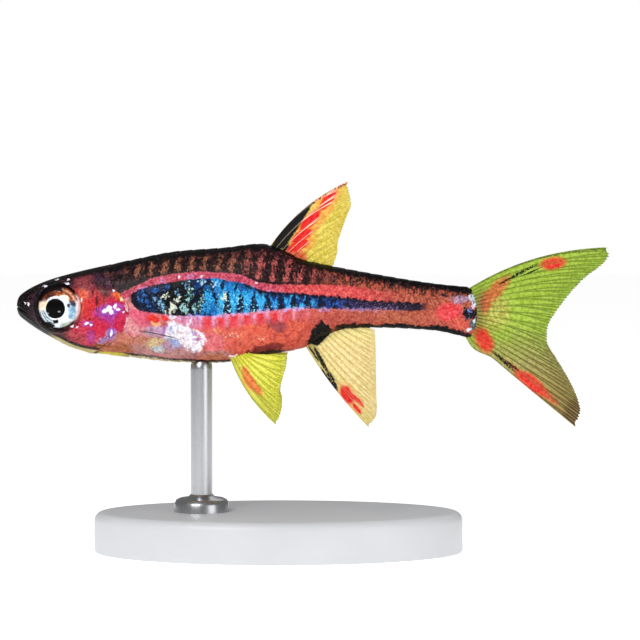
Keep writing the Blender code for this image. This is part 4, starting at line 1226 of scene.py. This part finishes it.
def dorsalPaint(f, u, v):
    ray, gap = rayLines(f, u, v, 10, 0.12)
    ragged, close = f.wobble(3.0, 1.5), f.wobble(2.0, 1.1, 9.0)
    fine, speck = f.noise(3.0, 4.0), f.noise(1.5, 3.0, 31.0)
    grain = f.step(fine, 0.4, 0.62)
    colour = f.inks(grain, (204, 186, 52), (234, 216, 106))
    colour = f.mix(ray * 0.6, colour, f.inks(f.step(speck, 0.42, 0.6), (158, 142, 40), (216, 184, 90)))
    blush = f.spots(ragged, dorsalSpots["blush"])
    colour = f.mix(blush * 0.6, colour, f.inks(grain, (230, 128, 50), (240, 176, 90)))
    root = f.spots(ragged, dorsalSpots["root"])
    colour = f.mix(root * 0.85, colour, f.inks(grain, (206, 58, 40), (226, 110, 80)))
    red = f.spots(ragged, dorsalSpots["red"], 0.25)
    colour = f.mix(red, colour, f.inks(grain, (206, 8, 16), (232, 44, 36)))
    lead = f.step(u, 0.035, 0.02)
    tip = f.inks(f.step(speck, 0.44, 0.58), (120, 40, 20), (240, 170, 120))
    colour = f.mix(lead * f.step(v, 0.5, 0.6), colour, tip)
    front = f.most(f.patch(close, dorsalSpots["front"], 0.9), f.spots(close, dorsalSpots["streaks"]))
    colour = f.mix(front, colour, tint(6, 6, 6))
    # painted highlights: pale lines along the rays over the red marks and the black front
    pale = f.step(gap, 0.07, 0.03) * f.step(v, 0.99, 0.8) * f.step(speck, 0.3, 0.42)
    colour = f.mix(pale * f.most(red, front * 0.35) * 0.85, colour, tint(255, 214, 184))
    return colour, 0.94 + 0.06 * f.most(f.most(front, red), ray), ray


analSpots = {
    "red": [(347, 395, 10, 5.6, 62), (357.5, 400.5, 9, 2.2, 45), (357, 409, 7, 1.8, 50)],
    "blush": [(350, 398, 17, 9, 55)],
    "streaks": [(332, 381, 11, 3, 63), (321, 360, 16, 2, 62), (313.5, 353.5, 10, 1.1, 57),
                (326, 376, 10, 1, 60)],
}


def analPaint(f, u, v):
    ray, gap = rayLines(f, u, v, 12, 0.1)
    ragged, close = f.wobble(3.0, 1.6), f.wobble(2.0, 1.0, 9.0)
    fine, speck = f.noise(3.0, 4.0), f.noise(1.5, 3.0, 31.0)
    grain = f.step(fine, 0.38, 0.64)
    colour = f.inks(grain, (224, 200, 130), (246, 228, 168))
    colour = f.mix(f.step(f.down, 350, 332) * 0.4, colour, tint(238, 230, 140))
    colour = f.mix(f.step(u + v * 0.1, 0.3, 0.08) * 0.5, colour, tint(206, 196, 96))
    colour = f.mix(ray * 0.6, colour, f.inks(f.step(speck, 0.42, 0.6), (150, 124, 64), (206, 178, 116)))
    red = f.spots(ragged, analSpots["red"], 0.25)
    colour = f.mix(f.spots(ragged, analSpots["blush"]) * 0.4, colour, tint(240, 150, 96))
    colour = f.mix(red, colour, f.inks(grain, (198, 14, 16), (224, 54, 40)))
    streaks = f.spots(close, analSpots["streaks"])
    base = f.patch(close, marks["analBlot"], 0.8)
    black = f.most(streaks * f.step(speck, 0.32, 0.42), base)
    colour = f.mix(black, colour, tint(6, 5, 7))
    pale = f.step(gap, 0.06, 0.02) * red * f.step(speck, 0.36, 0.5)
    colour = f.mix(pale * 0.25, colour, tint(252, 206, 176))
    return colour, 0.94 + 0.06 * f.most(f.most(black, red), ray), ray


caudalSpots = {
    "root": [(490, 312, 17, 15, 0)], "hinge": [(479, 311, 5, 22, 4)], "tip": [(574, 414, 9, 15, 24)],
    "reds": [(553, 263.5, 12, 5.8, -8), (531.5, 383, 19, 6.2, 38), (484, 340, 7.5, 13, -28)],
    "warm": [(495, 291, 18, 6, -45), (486, 302, 5, 10, 10), (548, 396, 12, 3, 38), (512, 366, 8, 1.6, 40)],
    "streaks": [(521, 272.5, 18, 1.5, -28), (531, 272, 12, 0.8, -24), (505, 281, 7, 1, -30),
                (504, 361.5, 15, 1.8, 42), (513, 366, 8, 1, 40), (541, 255.5, 6, 0.7, -14)],
}


def caudalPaint(f, u, v):
    ray, gap = rayLines(f, u, v, 19, 0.11)
    ragged, close = f.wobble(4.0, 2.0), f.wobble(2.0, 1.1, 9.0)
    fine, speck = f.noise(3.0, 4.0), f.noise(1.5, 3.0, 31.0)
    grain = f.step(fine, 0.38, 0.64)
    green = f.inks(grain, (140, 168, 38), (172, 200, 76))
    dull = f.inks(grain, (144, 142, 68), (180, 174, 106))
    low = f.step(f.down + (f.noise(30.0, 2.0, 3.0) - 0.5) * 40, 318, 366)
    colour = f.mix(low, green, dull)
    worn = f.step(u + (fine - 0.5) * 0.4, 0.7, 0.95) * f.step(v, 0.4, 0.9)
    colour = f.mix(worn * 0.6, colour, tint(150, 118, 60))
    root = f.spots(ragged, caudalSpots["root"], 0.6)
    colour = f.mix(root * 0.6, colour, f.inks(grain, (168, 130, 56), (214, 206, 120)))
    shafts = f.step(gap, 0.12, 0.03) * f.step(speck, 0.3, 0.44) * (0.6 + low * 0.2)
    colour = f.mix(shafts, colour, f.inks(low, (72, 92, 20), (80, 64, 28)))
    reds = f.spots(ragged, caudalSpots["reds"], 0.4)
    warm = f.spots(ragged, caudalSpots["warm"], 0.5)
    colour = f.mix(warm * 0.85 * (1 - shafts), colour, f.inks(grain, (190, 60, 34), (222, 112, 70)))
    colour = f.mix(reds * (1 - shafts * 0.5), colour, f.inks(grain, (200, 24, 26), (226, 74, 52)))
    streaks = f.spots(close, caudalSpots["streaks"])
    dashes = f.step(gap, 0.2, 0.08) * f.step(v, 0.3, 0.12) * f.step(abs(f.down - 311), 22, 12)
    fringe = f.step(u, 0.025, 0.01) * f.step(speck, 0.46, 0.54) * 0.7
    black = f.most(f.most(streaks, dashes * 0.8) * f.step(speck, 0.4, 0.47), fringe)
    colour = f.mix(black, colour, tint(8, 10, 4))
    tip = f.spots(ragged, caudalSpots["tip"], 0.5)
    colour = f.mix(tip * (0.35 + ray * 0.5), colour, tint(70, 42, 18))
    hinge = f.spots(ragged, caudalSpots["hinge"], 0.5) * f.step(fine, 0.36, 0.6)
    colour = f.mix(hinge * 0.6, colour, tint(110, 66, 50))
    return colour, 0.94 + 0.06 * f.most(f.most(black, reds), shafts), ray


pelvicRed = [(250, 382, 11, 5, 56), (256.5, 389, 8, 3.4, 52), (246, 372, 6, 3, 60)]


def pelvicPaint(f, u, v):
    ray, gap = rayLines(f, u, v, 8, 0.12)
    ragged = f.wobble(3.0, 1.6)
    fine, speck = f.noise(3.0, 4.0), f.noise(1.5, 3.0, 31.0)
    colour = f.inks(f.step(fine, 0.36, 0.66), (204, 206, 46), (232, 228, 92))
    colour = f.mix(f.step(u + (fine - 0.5) * 0.3, 0.4, 0.1) * 0.5, colour, tint(176, 176, 74))
    red = f.spots(ragged, pelvicRed, 0.35)
    colour = f.mix(red * 0.9, colour, f.inks(f.step(fine, 0.42, 0.6), (214, 78, 40), (236, 126, 78)))
    colour = f.mix(ray * f.step(speck, 0.34, 0.5) * 0.7, colour, tint(134, 134, 34))
    between = f.step(gap, 0.28, 0.4) * f.step(v, 0.1, 0.4)
    colour = f.mix(between * (1 - red) * 0.5, colour, tint(244, 244, 140))
    return colour, 0.94 + 0.06 * f.most(red, ray), ray


def pectoralPaint(f, u, v):
    ray = rayLines(f, u, v, 12, 0.12)[0]
    colour = f.inks(ray, (250, 232, 222), (206, 170, 160))
    lead = f.step(u, 0.04, 0.015) * f.step(v, 1.0, 0.6)
    colour = f.mix(lead, colour, tint(48, 26, 38))
    return colour, f.most(0.03 + ray * 0.06, lead * 0.85), ray


def makeFin(name, shape, side, word, finish):
    root, margin = smoothPath(shape["root"]), smoothPath(shape["margin"])
    columns, rows = fin["columnsPerRay"] * (shape["rays"] - 1), fin["rows"]
    bowLast = shape.get("bowLast", 0.0)

    def point(u, v):
        start, tip = root(u), margin(u)
        start = start + (start - tip) * shape.get("sunk", fin["sunk"])
        spread = tip - start
        bow = (shape["bow"] * (1 - u) + bowLast * u) * 4 * v * (1 - v)
        bow += shape.get("heel", 0) * u ** 6 * hump((v - 0.15) / 0.15)
        bow = Vector((-spread.y, spread.x)) * bow
        share, height = start.lerp(tip, v) + bow
        y = shape.get("rootY", 0) + shape.get("flare", 0) * v + shape.get("fan", 0) * u
        y += fin["wave"] * math.sin(u * 9 + v * 2) * v * v
        return place(share, height, y * side)

    bm = bmesh.new()
    bmesh.ops.create_grid(bm, x_segments=columns, y_segments=rows, size=0.5)
    lifted = bmesh.ops.extrude_face_region(bm, geom=bm.faces[:], use_keep_orig=True)["geom"]
    for vert in (g for g in lifted if isinstance(g, bmesh.types.BMVert)):
        vert.co.z = 1
    uv = bm.loops.layers.uv.new("Fin")
    for face in bm.faces:
        for loop in face.loops:
            loop[uv].uv = (loop.vert.co.x + 0.5, loop.vert.co.y + 0.5)
    step = 0.01
    for vert in bm.verts:
        u, v = vert.co.x + 0.5, vert.co.y + 0.5
        ray = rayAt(u, v, shape["rays"])
        v *= 1 - fin["dip"] * (1 - ray) * ease((v - 0.8) / 0.2)
        across = point(u + step, v) - point(u - step, v)
        along = point(u, v + step) - point(u, v - step)
        normal = across.cross(along).normalized()
        taper = 1 - 0.6 * ease(v)
        half = (fin["membrane"] + fin["ray"] * ray * (1.5 if u < 0.02 else 1.0)) * taper
        vert.co = point(u, v) + normal * half * (2 * vert.co.z - 1)
    bmesh.ops.recalc_face_normals(bm, faces=bm.faces)
    if bm.calc_volume(signed=True) < 0:
        bmesh.ops.reverse_faces(bm, faces=bm.faces)
    piece = makePiece(name + "_blade" + word, bm, finish)
    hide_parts(*(shape.get("nodes") or [name + word]))
    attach(piece, "root")


paints = {
    "dorsal_fin": dorsalPaint, "anal_fin": analPaint, "caudal_fin": caudalPaint, "pelvic_fin": pelvicPaint,
    "pectoral_fin": pectoralPaint,
}
for name, shape in fins.items():
    finish, (colour, alpha, ray) = finFinish(name, paints[name])
    finish.shader(colour, 0.5, alpha=alpha, normal=finish.bump(ray, 0.01 * mm, 0.5), specular_ior_level=0.2,
                  coat_weight=0.06, coat_roughness=0.2)
    if "nodes" in shape:
        makeFin(name, shape, 1, "", finish)
    else:
        makeFin(name, shape, -1, "_left", finish)
        makeFin(name, shape, 1, "_right", finish)
print("stage: fins made")

stand = {
    "length": 12.8 * mm, "width": 7.4 * mm, "thickness": 1.4 * mm, "centreX": -1.2 * mm, "edge": 0.3 * mm,
    "sides": 180, "rodRadius": 0.38 * mm, "rodShare": 0.4, "rodSides": 48, "collarRadius": 0.95 * mm,
    "collarHeight": 0.5 * mm,
}


def plinthFinish():
    f = Finish("plinthPaint")
    f.readPicture()
    fine = f.noise(1.4, 4.0)
    broad = f.noise(60.0, 2.0, 3.0)
    colour = f.mix(broad, tint(196, 198, 201), tint(206, 208, 211))
    f.shader(colour, 0.36 + broad * 0.12, normal=f.bump(fine, 0.01 * mm, 0.25), coat_weight=0.15,
             coat_roughness=0.3)
    return f


def steelFinish():
    f = Finish("rodSteel")
    f.readPicture()
    grain = f.noise(1.2, 3.0, stretch=(1, 1, 0.04))
    colour = f.mix(grain, tint(176, 178, 182), tint(206, 208, 210))
    f.shader(colour, 0.22 + grain * 0.14, metallic=1.0, normal=f.bump(grain, 0.004 * mm, 0.4))
    return f


def makeStand():
    paint, steel = plinthFinish(), steelFinish()
    bm = bmesh.new()
    bmesh.ops.create_cone(bm, cap_ends=True, segments=stand["sides"], radius1=0.5, radius2=0.5, depth=1)
    bmesh.ops.scale(bm, vec=(stand["length"], stand["width"], stand["thickness"]), verts=bm.verts)
    bmesh.ops.translate(bm, vec=(stand["centreX"], 0, stand["thickness"] / 2), verts=bm.verts)
    rims = [e for e in bm.edges if all(v.co.z > stand["thickness"] * 0.9 for v in e.verts)]
    bmesh.ops.bevel(bm, geom=rims, offset=stand["edge"], affect="EDGES", segments=6, profile=0.5, material=-1)
    low = [e for e in bm.edges if all(v.co.z < 1e-6 for v in e.verts)]
    bmesh.ops.bevel(bm, geom=low, offset=0.08 * mm, affect="EDGES", segments=2, profile=0.5, material=-1)
    plinth = makePiece("plinth", bm, paint)
    plinth.data.set_sharp_from_angle(angle=math.radians(35))
    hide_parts("stand_base")
    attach(plinth, "root")

    foot = Vector((place(stand["rodShare"], 0).x, 0, stand["thickness"]))
    tall = place(stand["rodShare"], -belly(stand["rodShare"])).z - stand["thickness"]
    radius, collar, rise = stand["rodRadius"], stand["collarRadius"], stand["collarHeight"]
    rod = [(0, -0.1 * mm), (collar, -0.1 * mm), (collar, rise * 0.55), (collar * 0.93, rise * 0.8),
           (collar * 0.8, rise * 0.92), (radius * 1.25, rise), (radius, rise * 1.2),
           (radius, tall - 0.25 * mm), (radius * 0.96, tall - 0.06 * mm), (radius * 0.8, tall + 0.04 * mm),
           (0, tall + 0.08 * mm)]
    bm = bmesh.new()
    rail = [bm.verts.new(foot + Vector((r, 0, z))) for r, z in rod]
    edges = [bm.edges.new(pair) for pair in zip(rail, rail[1:])]
    bmesh.ops.spin(bm, geom=rail + edges, cent=foot, axis=(0, 0, 1), angle=math.tau, steps=stand["rodSides"],
                   use_merge=True)
    bmesh.ops.remove_doubles(bm, verts=bm.verts, dist=1e-7)
    bmesh.ops.recalc_face_normals(bm, faces=bm.faces)
    piece = makePiece("rod", bm, steel)
    piece.data.set_sharp_from_angle(angle=math.radians(40))
    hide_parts("stand_rod")
    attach(piece, "root")


makeStand()
print("stage: stand made")

view = {
    "centre": (0.243 * mm, 0, 8.05 * mm), "span": 22.21 * mm, "lens": 135.0, "sensor": 36.0,
    "elevation": math.radians(2.0),
}


def makeFloor():
    f = Finish("paleFloor")
    f.readPicture()
    colour = f.mix(f.noise(300.0), tint(250, 250, 250), tint(253, 253, 253))
    f.shader(colour, 0.8, specular_ior_level=0.1, emission_color=(1, 1, 1, 1),
             emission_strength=studio["floorGlow"])
    bm = bmesh.new()
    bmesh.ops.create_grid(bm, x_segments=4, y_segments=4, size=0.6)
    floor = makePiece("floor", bm, f)


def makeCamera():
    data = bpy.data.cameras.new("camera")
    data.lens, data.sensor_width = view["lens"], view["sensor"]
    data.clip_start, data.clip_end = 0.001, 5.0
    camera = bpy.data.objects.new("camera", data)
    bpy.context.scene.collection.objects.link(camera)
    distance = view["span"] * view["lens"] / view["sensor"]
    lift = view["elevation"]
    centre = Vector(view["centre"])
    camera.location = centre + Vector((0, -math.cos(lift), math.sin(lift))) * distance
    camera.rotation_euler = (math.pi / 2 - lift, 0, 0)
    bpy.context.scene.camera = camera


studio = {"aroundLess": 0.42, "mirroredLess": 0.8, "floorGlow": 0.44}
lamps = {  # where each stands round the fish, its size and its power in watts
    "key": ((-0.045, -0.085, 0.075), 0.05, 0.06),
    "fill": ((0.08, -0.08, 0.03), 0.06, 0.02),
    "rim": ((0.02, 0.09, 0.08), 0.05, 0.006),
}


def makeLights():
    for name, (at, size, power) in lamps.items():
        data = bpy.data.lights.new(name, "AREA")
        data.size, data.energy = size, power
        lamp = bpy.data.objects.new(name, data)
        bpy.context.scene.collection.objects.link(lamp)
        lamp.location = at
        towards = Vector(view["centre"]) - Vector(at)
        lamp.rotation_euler = towards.to_track_quat("-Z", "Y").to_euler()
    world = bpy.data.worlds.new("studio")
    bpy.context.scene.world = world
    world.use_nodes = True
    tree = world.node_tree
    tree.nodes["Background"].inputs["Color"].default_value = (1, 1, 1, 1)
    path = tree.nodes.new("ShaderNodeLightPath")
    rest = tree.nodes["Background"].inputs["Strength"]
    for word, less in (("Is Diffuse Ray", studio["aroundLess"]), ("Is Glossy Ray", studio["mirroredLess"])):
        part = tree.nodes.new("ShaderNodeMath")
        part.operation = "MULTIPLY_ADD"
        tree.links.new(path.outputs[word], part.inputs[0])
        part.inputs[1].default_value, part.inputs[2].default_value = -less, 1.0
        if rest.links:
            tree.links.new(rest.links[0].from_socket, part.inputs[2])
        tree.links.new(part.outputs[0], rest)
    bpy.context.scene.view_settings.view_transform = "Standard"


makeFloor()
makeCamera()
makeLights()
print("stage: floor, camera and lights made")
